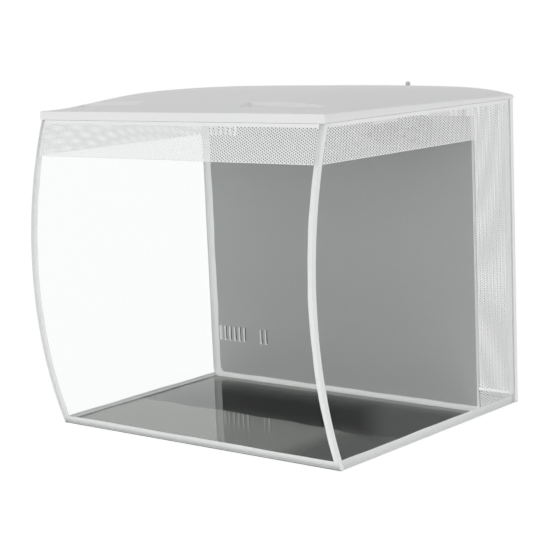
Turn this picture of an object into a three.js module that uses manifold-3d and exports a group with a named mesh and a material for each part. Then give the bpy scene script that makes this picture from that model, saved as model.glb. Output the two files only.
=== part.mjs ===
// Bow-front glass aquarium with a domed hood, a lamp in the hood and a hidden filter at the back.
// Millimetres, +Z up. The origin is the middle of the tank's footprint at table level, the bowed
// front pane faces -Y and the rear pane is the plane y = REAR_Y.

import * as THREE from "three";
import { mergeVertices } from "three/addons/utils/BufferGeometryUtils.js";
import Module from "manifold-3d";

const wasm = await Module();
wasm.setup();

// ---------------------------------------------------------------- driving dimensions

const WIDTH = 410;
const HALF_WIDTH = WIDTH / 2;
const REAR_Y = 195;
const RIM_Z = 359;
const GLASS = 5;

// The front pane is one arc in the YZ plane, bulging forward of the line between these two edges.
const FRONT_BOTTOM_Y = -156;
const FRONT_TOP_Y = -161.5;
const FRONT_BULGE = 33;

// Silicone: the gap between two panes, the clearance left to each pane, and the inside bead.
const JOINT = 1;
const CLEAR = 0.25;
const BEAD = 4;
const FLOOR_BEAD = 2.5;

const FLOOR_UNDERSIDE = 0.8;
const FLOOR_TOP = FLOOR_UNDERSIDE + GLASS;
const FLOOR_SEAL_TOP = FLOOR_TOP + 1.5;
const BACKING_THICKNESS = 0.5;

// Honeycomb-printed film on the outside of the panes.
const FILM = 0.3;
const FILM_TOP = RIM_Z - 3.5;
const FILM_BAND_BOTTOM = RIM_Z - 40;
const FILM_LOW = 11.5;
const FILM_MARGIN = 6.2;

// Filter compartment behind the grey divider.
const DIVIDER_Y = 112;
const DIVIDER_THICKNESS = 3;
const DIVIDER_BACK_Y = DIVIDER_Y + DIVIDER_THICKNESS;
const DIVIDER_TOP = 345;
const DIVIDER_BOTTOM = FLOOR_SEAL_TOP + 0.3;
const SLOT_WIDTH = 4;
const SLOT_PITCH = 8;
const INTAKE_Z = [53.5, 72];
const SKIMMER_Z = [318, 332];
const SLOT_GROUP_X = -187.5;
const SLOT_PAIR_X = -120;
const LEFT_WALL_X = -84;
const RIGHT_WALL_X = 60;
const WALL_THICKNESS = 3;
const WALL_TOP = 292;
const PORT_Y = [132, 173];
const PORT_PITCH = 12;

// Lift-out filter media stand on the chamber floor, clear of the divider and the rear pane.
const MEDIA_BOTTOM = 9;
const MEDIA_Y = [119, 186];
const HANDLE_TOP = 300;
const FOAM_CARRIER_X = [-196, -88];
const FOAM_CARRIER_STRAP = 2.5;
const BASKET_X = [-76, 56];
const BASKET_TOP = 172;
const BASKET_WALL = 2;

// Pump and outlets.
const PUMP_AXIS_Y = 153;
const PUMP_AXIS_Z = 44;
const SPIGOT_X = 88;
const TEE_Y = 150;
const OUTLET_Z = 326;
const OUTLET_X = [86, 134];
const OUTLET_HOLE = 10.5;
const SPOUT_PIVOT_Y = 94;

// Hood.
const LIP_OVERHANG = 0.8;
const HOOD_HALF_WIDTH = HALF_WIDTH + LIP_OVERHANG;
const HOOD_FRONT_Y = FRONT_TOP_Y - 1;
const HOOD_REAR_Y = REAR_Y + LIP_OVERHANG;
const HOOD_DEPTH = HOOD_REAR_Y - HOOD_FRONT_Y;
const HOOD_BOTTOM = RIM_Z + 0.3;
const HOOD_WALL = 2.5;
const FRONT_LIP = 10;
const REAR_LIP = 4.2;
const CREST = 27;
const REAR_CREST = 14.8;
const CREST_AT = 0.33;
const SHOULDER_POWER = 5;
const SCOOP_X = [75, 176];
const SCOOP_Y = [-140, -121];
const SCOOP_DEPTH = 2.5;
const SIDE_ROUND = 1.2;
const FRONT_ROUND = 0.8;
const REAR_ROUND = 2;
const RECEIVER_AT = [90, 150];

// Lamp under the hood.
const LAMP_HALF_X = 140;
const LAMP_Y = [-80, 10];
const LAMP_BOTTOM = 354;
const LAMP_TOP = 368;
const SCREW_SPOTS = [[-146, -66], [146, -66], [-146, -4], [146, -4]];
const BOSS_BOTTOM = LAMP_TOP;

// Side counts of turned pieces.
const ROUND = 20;
const SMALL_ROUND = 14;
const PIN_ROUND = 8;

// ---------------------------------------------------------------- finishes

const FINISH = {
  clearGlass: { color: 0xe9f1ef, roughness: 0.04, metalness: 0, transparent: true, opacity: 0.25 },
  floorGlass: { color: 0x5d625f, roughness: 0.05, metalness: 0, transparent: true, opacity: 0.6 },
  darkBacking: { color: 0x2c2e2d, roughness: 0.6, metalness: 0 },
  silicone: { color: 0xe8eae9, roughness: 0.35, metalness: 0 },
  film: { color: 0xf2f3f3, roughness: 0.5, metalness: 0 },
  greyPanel: { color: 0x959595, roughness: 0.45, metalness: 0 },
  whitePlastic: { color: 0xe4e5e5, roughness: 0.38, metalness: 0 },
  blackPlastic: { color: 0x1d1e20, roughness: 0.42, metalness: 0 },
  foam: { color: 0x2b2f33, roughness: 0.95, metalness: 0 },
  carbon: { color: 0x232323, roughness: 0.9, metalness: 0 },
  ceramic: { color: 0xd9cdb8, roughness: 0.9, metalness: 0 },
  magnet: { color: 0x3b3b3e, roughness: 0.5, metalness: 0.2 },
  ceramicShaft: { color: 0xf4f2ec, roughness: 0.25, metalness: 0 },
  rubber: { color: 0x202122, roughness: 0.8, metalness: 0 },
  hose: { color: 0x3a3d40, roughness: 0.55, metalness: 0 },
  board: { color: 0xf0f0ee, roughness: 0.5, metalness: 0 },
  lens: { color: 0xf5f7f8, roughness: 0.3, metalness: 0 },
  steel: { color: 0xb9bbbd, roughness: 0.35, metalness: 1 },
  receiver: { color: 0x3c3f44, roughness: 0.2, metalness: 0 },
};

const aquarium = new THREE.Group();

function add(name, geometry, finish) {
  const mesh = new THREE.Mesh(geometry, new THREE.MeshStandardMaterial(FINISH[finish]));
  mesh.name = name;
  aquarium.add(mesh);
}

// ---------------------------------------------------------------- solids and booleans

function toSolid(geometry) {
  const bare = geometry.clone();
  bare.deleteAttribute("normal");
  bare.deleteAttribute("uv");
  const merged = mergeVertices(bare, 1e-4);
  return new wasm.Manifold(new wasm.Mesh({
    numProp: 3,
    vertProperties: new Float32Array(merged.attributes.position.array),
    triVerts: new Uint32Array(merged.index.array),
  }));
}

function toGeometry(solid) {
  const mesh = solid.getMesh();
  const geometry = new THREE.BufferGeometry();
  geometry.setAttribute("position", new THREE.BufferAttribute(mesh.vertProperties, 3));
  geometry.setIndex(new THREE.BufferAttribute(mesh.triVerts, 1));
  geometry.computeVertexNormals();
  return geometry;
}

function join(...geometries) {
  const solids = geometries.map(toSolid);
  return toGeometry(solids.reduce((whole, next) => whole.add(next)));
}

function cut(base, ...tools) {
  const solids = tools.map(toSolid);
  return toGeometry(solids.reduce((left, tool) => left.subtract(tool), toSolid(base)));
}

function block([x0, x1], [y0, y1], [z0, z1]) {
  const box = new THREE.BoxGeometry(Math.abs(x1 - x0), y1 - y0, z1 - z0);
  return box.translate((x0 + x1) / 2, (y0 + y1) / 2, (z0 + z1) / 2);
}

// A prism whose outline is drawn in (y, z) and which runs along X.
function prismX(shape, [x0, x1], arcSteps = 9) {
  const depth = Math.abs(x1 - x0);
  const prism = new THREE.ExtrudeGeometry(shape, { depth, bevelEnabled: false, curveSegments: arcSteps });
  const toYZ = new THREE.Matrix4().makeBasis(
    new THREE.Vector3(0, 1, 0), new THREE.Vector3(0, 0, 1), new THREE.Vector3(1, 0, 0));
  return prism.applyMatrix4(toYZ).translate(Math.min(x0, x1), 0, 0);
}

// A prism whose outline is drawn in (x, y) and which runs along Z.
function prismZ(shape, [z0, z1], arcSteps = 6) {
  const prism = new THREE.ExtrudeGeometry(
    shape, { depth: z1 - z0, bevelEnabled: false, curveSegments: arcSteps });
  return prism.translate(0, 0, z0);
}

function roundedRectangle([x0, x1], [y0, y1], radius) {
  const shape = new THREE.Shape();
  shape.moveTo(x0 + radius, y0);
  shape.lineTo(x1 - radius, y0);
  shape.absarc(x1 - radius, y0 + radius, radius, -Math.PI / 2, 0, false);
  shape.absarc(x1 - radius, y1 - radius, radius, 0, Math.PI / 2, false);
  shape.absarc(x0 + radius, y1 - radius, radius, Math.PI / 2, Math.PI, false);
  shape.absarc(x0 + radius, y0 + radius, radius, Math.PI, 1.5 * Math.PI, false);
  return shape;
}

function rodX(radius, [x0, x1], y, z, sides = ROUND) {
  const rod = new THREE.CylinderGeometry(radius, radius, x1 - x0, sides).rotateZ(Math.PI / 2);
  return rod.translate((x0 + x1) / 2, y, z);
}

function rodY(radius, x, [y0, y1], z, sides = ROUND) {
  return new THREE.CylinderGeometry(radius, radius, y1 - y0, sides).translate(x, (y0 + y1) / 2, z);
}

function rodZ(radius, x, y, [z0, z1], sides = ROUND) {
  const rod = new THREE.CylinderGeometry(radius, radius, z1 - z0, sides).rotateX(Math.PI / 2);
  return rod.translate(x, y, (z0 + z1) / 2);
}

// A ring turned about the Y axis from (radius, y) corners, centred on (x, z).
function turnedY(corners, x, z, sides = ROUND) {
  const outline = [...corners, corners[0]].map(([radius, y]) => new THREE.Vector2(radius, y));
  return new THREE.LatheGeometry(outline, sides).translate(x, 0, z);
}

function sweep(points, outerRadius, innerRadius, steps, sides) {
  const section = new THREE.Shape().absarc(0, 0, outerRadius, 0, 2 * Math.PI, false);
  if (innerRadius > 0) {
    section.holes.push(new THREE.Path().absarc(0, 0, innerRadius, 0, 2 * Math.PI, true));
  }
  const extrudePath = new THREE.CatmullRomCurve3(points.map((p) => new THREE.Vector3(...p)));
  return new THREE.ExtrudeGeometry(
    section, { steps, extrudePath, bevelEnabled: false, curveSegments: sides });
}

// ---------------------------------------------------------------- the bow of the front pane

const chordY = FRONT_TOP_Y - FRONT_BOTTOM_Y;
const CHORD = Math.hypot(chordY, RIM_Z);
const BOW_RADIUS = CHORD ** 2 / (8 * FRONT_BULGE) + FRONT_BULGE / 2;
const BOW_REACH = BOW_RADIUS - FRONT_BULGE;
const BOW_Y = (FRONT_BOTTOM_Y + FRONT_TOP_Y) / 2 + BOW_REACH * (RIM_Z / CHORD);
const BOW_Z = RIM_Z / 2 - BOW_REACH * (chordY / CHORD);
const INNER_BOW = BOW_RADIUS - GLASS;

function bowY(radius, z) {
  return BOW_Y - Math.sqrt(radius ** 2 - (z - BOW_Z) ** 2);
}

function bowAngle(radius, z) {
  return Math.PI - Math.asin((z - BOW_Z) / radius);
}

// The band between two arcs about the bow's axis, from height z0 to z1, drawn in (y, z).
function bowBand(outerRadius, innerRadius, [z0, z1]) {
  const shape = new THREE.Shape();
  shape.absarc(BOW_Y, BOW_Z, outerRadius, bowAngle(outerRadius, z0), bowAngle(outerRadius, z1), true);
  shape.absarc(BOW_Y, BOW_Z, innerRadius, bowAngle(innerRadius, z1), bowAngle(innerRadius, z0), false);
  return shape;
}

// The D outline from the arc of the given radius back to rearY, drawn in (y, z).
function bowPlate(radius, rearY, [z0, z1]) {
  const shape = new THREE.Shape();
  shape.moveTo(rearY, z0);
  shape.lineTo(bowY(radius, z0), z0);
  shape.absarc(BOW_Y, BOW_Z, radius, bowAngle(radius, z0), bowAngle(radius, z1), true);
  shape.lineTo(rearY, z1);
  return shape;
}

// ---------------------------------------------------------------- glass, seals and film

const REAR_INNER_Y = REAR_Y - GLASS;
const SIDE_INNER_X = HALF_WIDTH - GLASS;
const FLOOR_HALF_X = SIDE_INNER_X - JOINT - CLEAR;
const FLOOR_FRONT_Y = bowY(INNER_BOW, 0) + JOINT + CLEAR;
const FLOOR_REAR_Y = REAR_INNER_Y - JOINT - CLEAR;

function addPanes() {
  const full = [0, RIM_Z];
  add("front_glass", prismX(bowBand(BOW_RADIUS, INNER_BOW, full), [-HALF_WIDTH, HALF_WIDTH]), "clearGlass");
  const side = bowPlate(INNER_BOW - JOINT, REAR_INNER_Y - JOINT, full);
  add("left_glass", prismX(side, [-HALF_WIDTH, -SIDE_INNER_X]), "clearGlass");
  add("right_glass", prismX(side, [SIDE_INNER_X, HALF_WIDTH]), "clearGlass");
  add("rear_glass", block([-HALF_WIDTH, HALF_WIDTH], [REAR_INNER_Y, REAR_Y], full), "clearGlass");

  const floorX = [-FLOOR_HALF_X, FLOOR_HALF_X];
  const floorY = [FLOOR_FRONT_Y, FLOOR_REAR_Y];
  add("floor_glass", block(floorX, floorY, [FLOOR_UNDERSIDE, FLOOR_TOP]), "floorGlass");
  add("floor_backing", block(floorX, floorY, [0, BACKING_THICKNESS]), "darkBacking");
}

// Each corner seal fills the gap between two panes and carries a bead along the inside corner.
// Below the top of the floor seal only the part in the gap goes on down to the table.
function addCornerSeals() {
  const full = [CLEAR, RIM_Z - CLEAR];
  const nearRadius = INNER_BOW - CLEAR;
  const rearY = REAR_INNER_Y - CLEAR;
  for (const [side, sign] of [["left", -1], ["right", 1]]) {
    const inside = [sign * (SIDE_INNER_X - BEAD - 1), sign * SIDE_INNER_X];
    const notch = block(inside, [-HALF_WIDTH, HALF_WIDTH], [0, FLOOR_SEAL_TOP + CLEAR]);
    const gapX = [sign * (SIDE_INNER_X - BEAD), sign * (HALF_WIDTH - CLEAR)];
    const beadX = [sign * (SIDE_INNER_X - BEAD), sign * (SIDE_INNER_X - CLEAR)];

    const frontGap = prismX(bowBand(nearRadius, INNER_BOW - JOINT + CLEAR, full), gapX);
    const frontBead = prismX(bowBand(nearRadius, INNER_BOW - BEAD, full), beadX);
    add(`${side}_front_seal`, cut(join(frontGap, frontBead), notch), "silicone");

    const rearGap = block(gapX, [rearY - JOINT + 2 * CLEAR, rearY], full);
    const rearBead = block(beadX, [rearY - BEAD + CLEAR, rearY], full);
    add(`${side}_rear_seal`, cut(join(rearGap, rearBead), notch), "silicone");
  }
}

function addFloorSeal() {
  const sealZ = [CLEAR, FLOOR_SEAL_TOP];
  const innerX = SIDE_INNER_X - CLEAR;
  const whole = prismX(bowPlate(INNER_BOW - CLEAR, REAR_INNER_Y - CLEAR, sealZ), [-innerX, innerX]);
  const pane = block(
    [-FLOOR_HALF_X - CLEAR, FLOOR_HALF_X + CLEAR],
    [FLOOR_FRONT_Y - CLEAR, FLOOR_REAR_Y + CLEAR],
    [-1, FLOOR_TOP + CLEAR]);
  const frontY = bowY(INNER_BOW, FLOOR_SEAL_TOP);
  const opening = block(
    [-innerX + FLOOR_BEAD, innerX - FLOOR_BEAD],
    [frontY + FLOOR_BEAD + JOINT, REAR_INNER_Y - FLOOR_BEAD - CLEAR],
    [FLOOR_TOP, FLOOR_SEAL_TOP + 1]);
  add("floor_seal", cut(whole, pane, opening), "silicone");
}

function addFilms() {
  const frontX = [-HALF_WIDTH + FILM_MARGIN, HALF_WIDTH - FILM_MARGIN];
  const band = [FILM_BAND_BOTTOM, FILM_TOP];
  const front = bowBand(BOW_RADIUS + 2 * FILM, BOW_RADIUS + FILM, band);
  add("front_film", prismX(front, frontX, 6), "film");

  // Each side sheet is a band along the top with a full-height piece over the filter compartment.
  const rearEdge = REAR_Y - FILM_MARGIN - BEAD;
  const edgeRadius = BOW_RADIUS - FILM_MARGIN;
  const sheet = new THREE.Shape();
  sheet.moveTo(rearEdge, FILM_LOW);
  sheet.lineTo(DIVIDER_Y, FILM_LOW);
  sheet.lineTo(DIVIDER_Y, FILM_BAND_BOTTOM);
  sheet.absarc(BOW_Y, BOW_Z, edgeRadius, ...band.map((z) => bowAngle(edgeRadius, z)), true);
  sheet.lineTo(rearEdge, FILM_TOP);
  const sheetX = [HALF_WIDTH + 0.1, HALF_WIDTH + 0.1 + FILM];
  add("left_film", prismX(sheet, sheetX.map((x) => -x), 6), "film");
  add("right_film", prismX(sheet, sheetX, 6), "film");

  const rearSheet = [REAR_Y + 0.1, REAR_Y + 0.1 + FILM];
  add("rear_film", block(frontX, rearSheet, [FILM_LOW, FILM_TOP]), "film");
}

// ---------------------------------------------------------------- filter compartment walls

function slotRow(firstX, count, [z0, z1]) {
  const slots = [];
  const throughY = [DIVIDER_Y - 1, DIVIDER_BACK_Y + 1];
  for (let index = 0; index < count; index += 1) {
    const left = firstX + index * SLOT_PITCH - SLOT_WIDTH / 2;
    slots.push(block([left, left + SLOT_WIDTH], throughY, [z0, z1]));
  }
  return slots;
}

function addDivider() {
  const panelX = SIDE_INNER_X - CLEAR;
  const panel = block([-panelX, panelX], [DIVIDER_Y, DIVIDER_BACK_Y], [DIVIDER_BOTTOM, DIVIDER_TOP]);
  const outlets = OUTLET_X.map((x) => rodY(OUTLET_HOLE, x, [DIVIDER_Y - 1, DIVIDER_BACK_Y + 1], OUTLET_Z));
  const intake = [...slotRow(SLOT_GROUP_X, 6, INTAKE_Z), ...slotRow(SLOT_PAIR_X, 2, INTAKE_Z)];
  const skimmer = slotRow(SLOT_GROUP_X, 6, SKIMMER_Z);
  add("rear_divider", cut(panel, ...intake, ...skimmer, ...outlets), "greyPanel");

  const foot = new THREE.Shape();
  foot.moveTo(DIVIDER_Y - CLEAR, FLOOR_TOP + CLEAR);
  foot.lineTo(DIVIDER_Y - CLEAR, FLOOR_TOP + BEAD + 0.8);
  foot.quadraticCurveTo(DIVIDER_Y - 1.6, FLOOR_TOP + 1.6, DIVIDER_Y - BEAD, FLOOR_TOP + CLEAR);
  const footX = SIDE_INNER_X - FLOOR_BEAD - 2 * CLEAR;
  add("divider_foot_seal", prismX(foot, [-footX, footX], 4), "silicone");

  for (const [side, sign] of [["left", -1], ["right", 1]]) {
    const wallX = sign * (SIDE_INNER_X - CLEAR);
    const corner = new THREE.Shape();
    corner.moveTo(wallX, DIVIDER_Y - CLEAR);
    corner.lineTo(wallX - sign * BEAD, DIVIDER_Y - CLEAR);
    corner.quadraticCurveTo(wallX - sign * 1.2, DIVIDER_Y - 1.4, wallX, DIVIDER_Y - CLEAR - BEAD);
    const cornerZ = [FLOOR_TOP + BEAD + 1.2, DIVIDER_TOP];
    add(`divider_${side}_seal`, prismZ(corner, cornerZ, 4), "silicone");
  }
}

function addChamberWalls() {
  const wallY = [DIVIDER_BACK_Y + CLEAR, REAR_INNER_Y - CLEAR];
  const wallZ = [DIVIDER_BOTTOM, WALL_TOP];
  // Water passes high through the left wall and low through the right one.
  for (const [side, x, firstPort] of [["left", LEFT_WALL_X, 236], ["right", RIGHT_WALL_X, 16]]) {
    const wall = block([x, x + WALL_THICKNESS], wallY, wallZ);
    const ports = [0, 1, 2, 3].map((step) => {
      const z = firstPort + step * PORT_PITCH;
      return block([x - 1, x + WALL_THICKNESS + 1], PORT_Y, [z, z + PORT_PITCH / 2]);
    });
    add(`${side}_chamber_wall`, cut(wall, ...ports), "greyPanel");
  }
}

// ---------------------------------------------------------------- lift-out filter media

// A row of drain slots through a tray's floor, from x0 to x1.
function drainRow([x0, x1], pitch, width, trayTop) {
  const drains = [];
  for (let x = x0; x < x1; x += pitch) {
    drains.push(block([x, x + width], [MEDIA_Y[0] + 7, MEDIA_Y[1] - 7], [MEDIA_BOTTOM - 1, trayTop + 1]));
  }
  return drains;
}

function addFoamCarrier() {
  const [left, right] = FOAM_CARRIER_X;
  const strap = FOAM_CARRIER_STRAP;
  const strapY = [140, 166];
  const trayTop = MEDIA_BOTTOM + strap;
  const tray = block([left, right], MEDIA_Y, [MEDIA_BOTTOM, trayTop]);
  const leftStrap = block([left, left + strap], strapY, [MEDIA_BOTTOM, HANDLE_TOP]);
  const rightStrap = block([right - strap, right], strapY, [MEDIA_BOTTOM, HANDLE_TOP]);
  const bridge = block([left, right], strapY, [HANDLE_TOP - 22, HANDLE_TOP]);
  const gripY = [strapY[0] - 1, strapY[1] + 1];
  const grip = block([left + 24, right - 24], gripY, [HANDLE_TOP - 17, HANDLE_TOP - 4]);
  const coreY = [strapY[0] + 3, strapY[1] - 3];
  const core = block([left + strap, right - strap], coreY, [HANDLE_TOP - 23, HANDLE_TOP - 3]);
  const drains = drainRow([left + 10, right - 8], 12, 5, trayTop);
  const frame = cut(join(tray, leftStrap, rightStrap, bridge), grip, core, ...drains);
  add("foam_carrier", frame, "whitePlastic");

  const foamX = [left + strap + 1, right - strap - 1];
  const foam = block(foamX, [MEDIA_Y[0] + 2, MEDIA_Y[1] - 2], [trayTop + 0.5, 238]);
  add("foam_block", foam, "foam");
}

function addMediaBasket() {
  const wall = BASKET_WALL;
  const inX = [BASKET_X[0] + wall, BASKET_X[1] - wall];
  const inY = [MEDIA_Y[0] + wall, MEDIA_Y[1] - wall];
  const box = block(BASKET_X, MEDIA_Y, [MEDIA_BOTTOM, BASKET_TOP]);
  const hollow = block(inX, inY, [MEDIA_BOTTOM + wall, BASKET_TOP + 1]);
  const windows = [0, 1, 2, 3].map((row) => {
    const z = 24 + row * 36;
    return block([BASKET_X[0] - 1, BASKET_X[1] + 1], PORT_Y, [z, z + 26]);
  });
  const drains = drainRow([BASKET_X[0] + 10, BASKET_X[1] - 12], 14, 6, MEDIA_BOTTOM + wall);
  const armY = [143, 162];
  const armZ = [BASKET_TOP - 7, HANDLE_TOP];
  const arms = [BASKET_X[0], BASKET_X[1] - wall].map((x) => block([x, x + wall], armY, armZ));
  const bar = block(BASKET_X, armY, [HANDLE_TOP - 5, HANDLE_TOP]);
  add("media_basket", join(cut(box, hollow, ...windows, ...drains), ...arms, bar), "whitePlastic");

  const pouchX = [inX[0] + 1, inX[1] - 1];
  const pouchY = [inY[0] + 1, inY[1] - 1];
  const pouch = (z) => prismZ(roundedRectangle(pouchX, pouchY, 12), z, 3);
  add("carbon_pouch", pouch([12, 84]), "carbon");
  add("ceramic_pouch", pouch([86, 160]), "ceramic");
}

// ---------------------------------------------------------------- pump

function addPump() {
  const y = PUMP_AXIS_Y;
  const z = PUMP_AXIS_Z;
  const motor = prismZ(roundedRectangle([96, 136], [y - 22, y + 22], 7), [z - 22, z + 22], 3);
  const volute = rodX(18, [80, 98], y, z);
  const spigot = rodZ(6.5, SPIGOT_X, y, [z + 8, 84], SMALL_ROUND);
  const plate = prismZ(roundedRectangle([84, 140], [129, 177], 6), [14, 17], 3);
  const legs = [100, 126].map((x) => block([x, x + 5], [134, 172], [16, z - 20]));
  const chamber = rodX(12.5, [79, 95.5], y, z);
  const rotorBore = rodX(6.6, [94, 129], y, z, SMALL_ROUND);
  const outletBore = rodZ(4.4, SPIGOT_X, y, [z, 85], SMALL_ROUND);
  const shell = cut(join(motor, volute, spigot, plate, ...legs), chamber, rotorBore, outletBore);
  add("pump_body", shell, "blackPlastic");

  const cover = rodX(18, [75, 79.7], y, z);
  const recess = rodX(14, [77.5, 80], y, z);
  const slots = [-9, -4.5, 4.5, 9].map(
    (offset) => block([74, 80], [y - 10, y + 10], [z + offset - 1.2, z + offset + 1.2]));
  const hub = cut(rodX(3, [76, 80], y, z, SMALL_ROUND), rodX(1.4, [78, 81], y, z, PIN_ROUND));
  add("pump_cover", join(cut(cover, recess, ...slots), hub), "blackPlastic");

  const blades = [0, 1, 2].map((turn) => {
    const blade = new THREE.BoxGeometry(8, 21, 1.6).rotateX(turn * Math.PI / 3);
    return blade.translate(87, y, z);
  });
  const magnet = rodX(5.8, [96, 126], y, z, SMALL_ROUND);
  const neck = rodX(4, [82, 97], y, z, SMALL_ROUND);
  const shaftBore = rodX(1.5, [80, 128], y, z, PIN_ROUND);
  add("impeller", cut(join(magnet, neck, ...blades), shaftBore), "magnet");
  add("impeller_shaft", rodX(1.1, [79, 128.6], y, z, PIN_ROUND), "ceramicShaft");

  const cup = [[0, 6.1], [7.5, 6.1], [7.8, 7], [3, 9.4], [3, 13.7], [0, 13.7]];
  const spots = [[90, 135], [134, 135], [90, 171], [134, 171]];
  spots.forEach(([footX, footY], index) => {
    const outline = cup.map(([radius, height]) => new THREE.Vector2(radius, height));
    const foot = new THREE.LatheGeometry(outline, SMALL_ROUND).rotateX(Math.PI / 2);
    add(`suction_foot_${index + 1}`, foot.translate(footX, footY, 0), "rubber");
  });
}

function addOutletPlumbing() {
  const [firstX, lastX] = OUTLET_X;
  const middleX = (firstX + lastX) / 2;
  const y = PUMP_AXIS_Y;
  const hose = [
    [SPIGOT_X, y, 66], [SPIGOT_X, y, 90], [SPIGOT_X, y, 115], [99, 151, 175],
    [middleX, TEE_Y, 235], [middleX, TEE_Y, 265], [middleX, TEE_Y, 299],
  ];
  add("outlet_hose", sweep(hose, 8.4, 6.9, 18, 6), "hose");

  const bar = rodX(8.5, [firstX - 9, lastX + 9], TEE_Y, OUTLET_Z);
  const collar = rodZ(8.5, middleX, TEE_Y, [300, OUTLET_Z]);
  const inlet = rodZ(6.4, middleX, TEE_Y, [284, 301], SMALL_ROUND);
  const arms = OUTLET_X.map((x) => rodY(8.5, x, [119, TEE_Y], OUTLET_Z));
  const barBore = rodX(6, [firstX - 6, lastX + 6], TEE_Y, OUTLET_Z, SMALL_ROUND);
  const inletBore = rodZ(4.6, middleX, TEE_Y, [283, OUTLET_Z], SMALL_ROUND);
  const armBores = OUTLET_X.map((x) => rodY(6, x, [118, TEE_Y], OUTLET_Z, SMALL_ROUND));
  add("outlet_tee", cut(join(bar, collar, inlet, ...arms), barBore, inletBore, ...armBores), "blackPlastic");
}

// Each outlet is a fixed socket through the divider, a ring that turns in it and a tilting spout.
function addOutlet(side, x) {
  const z = OUTLET_Z;
  const pivotY = SPOUT_PIVOT_Y;
  const socket = [
    [7.5, 105], [14.5, 105], [14.5, DIVIDER_Y - CLEAR], [10.1, DIVIDER_Y - CLEAR],
    [10.1, 118.7], [7.5, 118.7],
  ];
  add(`${side}_outlet_socket`, turnedY(socket, x, z), "greyPanel");
  const nutY = [DIVIDER_BACK_Y + CLEAR, 118.6];
  const nut = cut(rodY(15, x, nutY, z, 6), rodY(10.6, x, [nutY[0] - 1, nutY[1] + 1], z));
  add(`${side}_outlet_nut`, nut, "blackPlastic");

  const ring = [
    [8.4, 90.5], [12.5, 90.5], [12.5, 104.7], [7.1, 104.7], [7.1, 112], [5.6, 112], [5.6, 102], [8.4, 102],
  ];
  const pinHole = rodX(1.9, [x - 14, x + 14], pivotY, z, PIN_ROUND);
  add(`${side}_outlet_ring`, cut(turnedY(ring, x, z), pinHole), "greyPanel");

  const ball = new THREE.SphereGeometry(7.6, SMALL_ROUND, 10).translate(x, pivotY, z);
  const nose = new THREE.CylinderGeometry(6, 4.6, 17, SMALL_ROUND).translate(x, pivotY - 11.5, z);
  const pins = rodX(1.5, [x - 11.5, x + 11.5], pivotY, z, PIN_ROUND);
  const bore = rodY(3.6, x, [70, 104], z, SMALL_ROUND);
  add(`${side}_outlet_spout`, cut(join(ball, nose, pins), bore), "greyPanel");
}

// ---------------------------------------------------------------- hood

// The dome's middle rises from the front lip to its crest and falls to the rear edge.
function ridge(along) {
  if (along < CREST_AT) {
    return FRONT_LIP + (CREST - FRONT_LIP) * Math.sin((Math.PI / 2) * (along / CREST_AT));
  }
  const fall = (along - CREST_AT) / (1 - CREST_AT);
  return CREST - (CREST - REAR_CREST) * (1 - Math.cos((Math.PI / 2) * fall));
}

function roundOff(radius, distance) {
  const inset = Math.max(radius - distance, 0);
  return radius - Math.sqrt(radius ** 2 - inset ** 2);
}

// The outside of the dome, as a height above the glass rim. Its upright side lips taper to the rear.
function domeHeight(x, y) {
  const across = Math.min(Math.abs(x) / HOOD_HALF_WIDTH, 1);
  const along = Math.min(Math.max((y - HOOD_FRONT_Y) / HOOD_DEPTH, 0), 1);
  const middle = ridge(along);
  const sideLip = FRONT_LIP + (REAR_LIP - FRONT_LIP) * along;
  const height = middle - (middle - sideLip) * across ** SHOULDER_POWER;
  const side = roundOff(SIDE_ROUND, HOOD_HALF_WIDTH * (1 - across));
  const front = roundOff(FRONT_ROUND, HOOD_DEPTH * along);
  const rear = roundOff(REAR_ROUND, HOOD_DEPTH * (1 - along));
  return height - side - front - rear;
}

// The dome grid is finer towards its edges, where the surface turns down.
function crowd(fraction) {
  return fraction * (1.5 - 0.5 * fraction ** 2);
}

function domeSolid(inset, drop, bottom) {
  const halfX = HOOD_HALF_WIDTH - inset;
  const halfY = HOOD_DEPTH / 2 - inset;
  const middleY = (HOOD_FRONT_Y + HOOD_REAR_Y) / 2;
  const dome = new THREE.BoxGeometry(2, 2, 2, 16, 14, 1);
  const spots = dome.attributes.position;
  for (let index = 0; index < spots.count; index += 1) {
    const x = halfX * crowd(spots.getX(index));
    const y = middleY + halfY * crowd(spots.getY(index));
    const top = RIM_Z + domeHeight(x, y) - drop;
    spots.setXYZ(index, x, y, spots.getZ(index) > 0 ? top : bottom);
  }
  return dome;
}

// A finger scoop has a level floor, so its rear wall deepens as the dome rises behind its front edge.
function scoop(sign, grow) {
  const x = [sign * (SCOOP_X[0] - grow), sign * (SCOOP_X[1] + grow)].sort((a, b) => a - b);
  const y = [SCOOP_Y[0] - grow, SCOOP_Y[1] + grow];
  const floor = RIM_Z + domeHeight(SCOOP_X[0], SCOOP_Y[0]) - SCOOP_DEPTH;
  return block(x, y, [floor - grow, floor + 30]);
}

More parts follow.
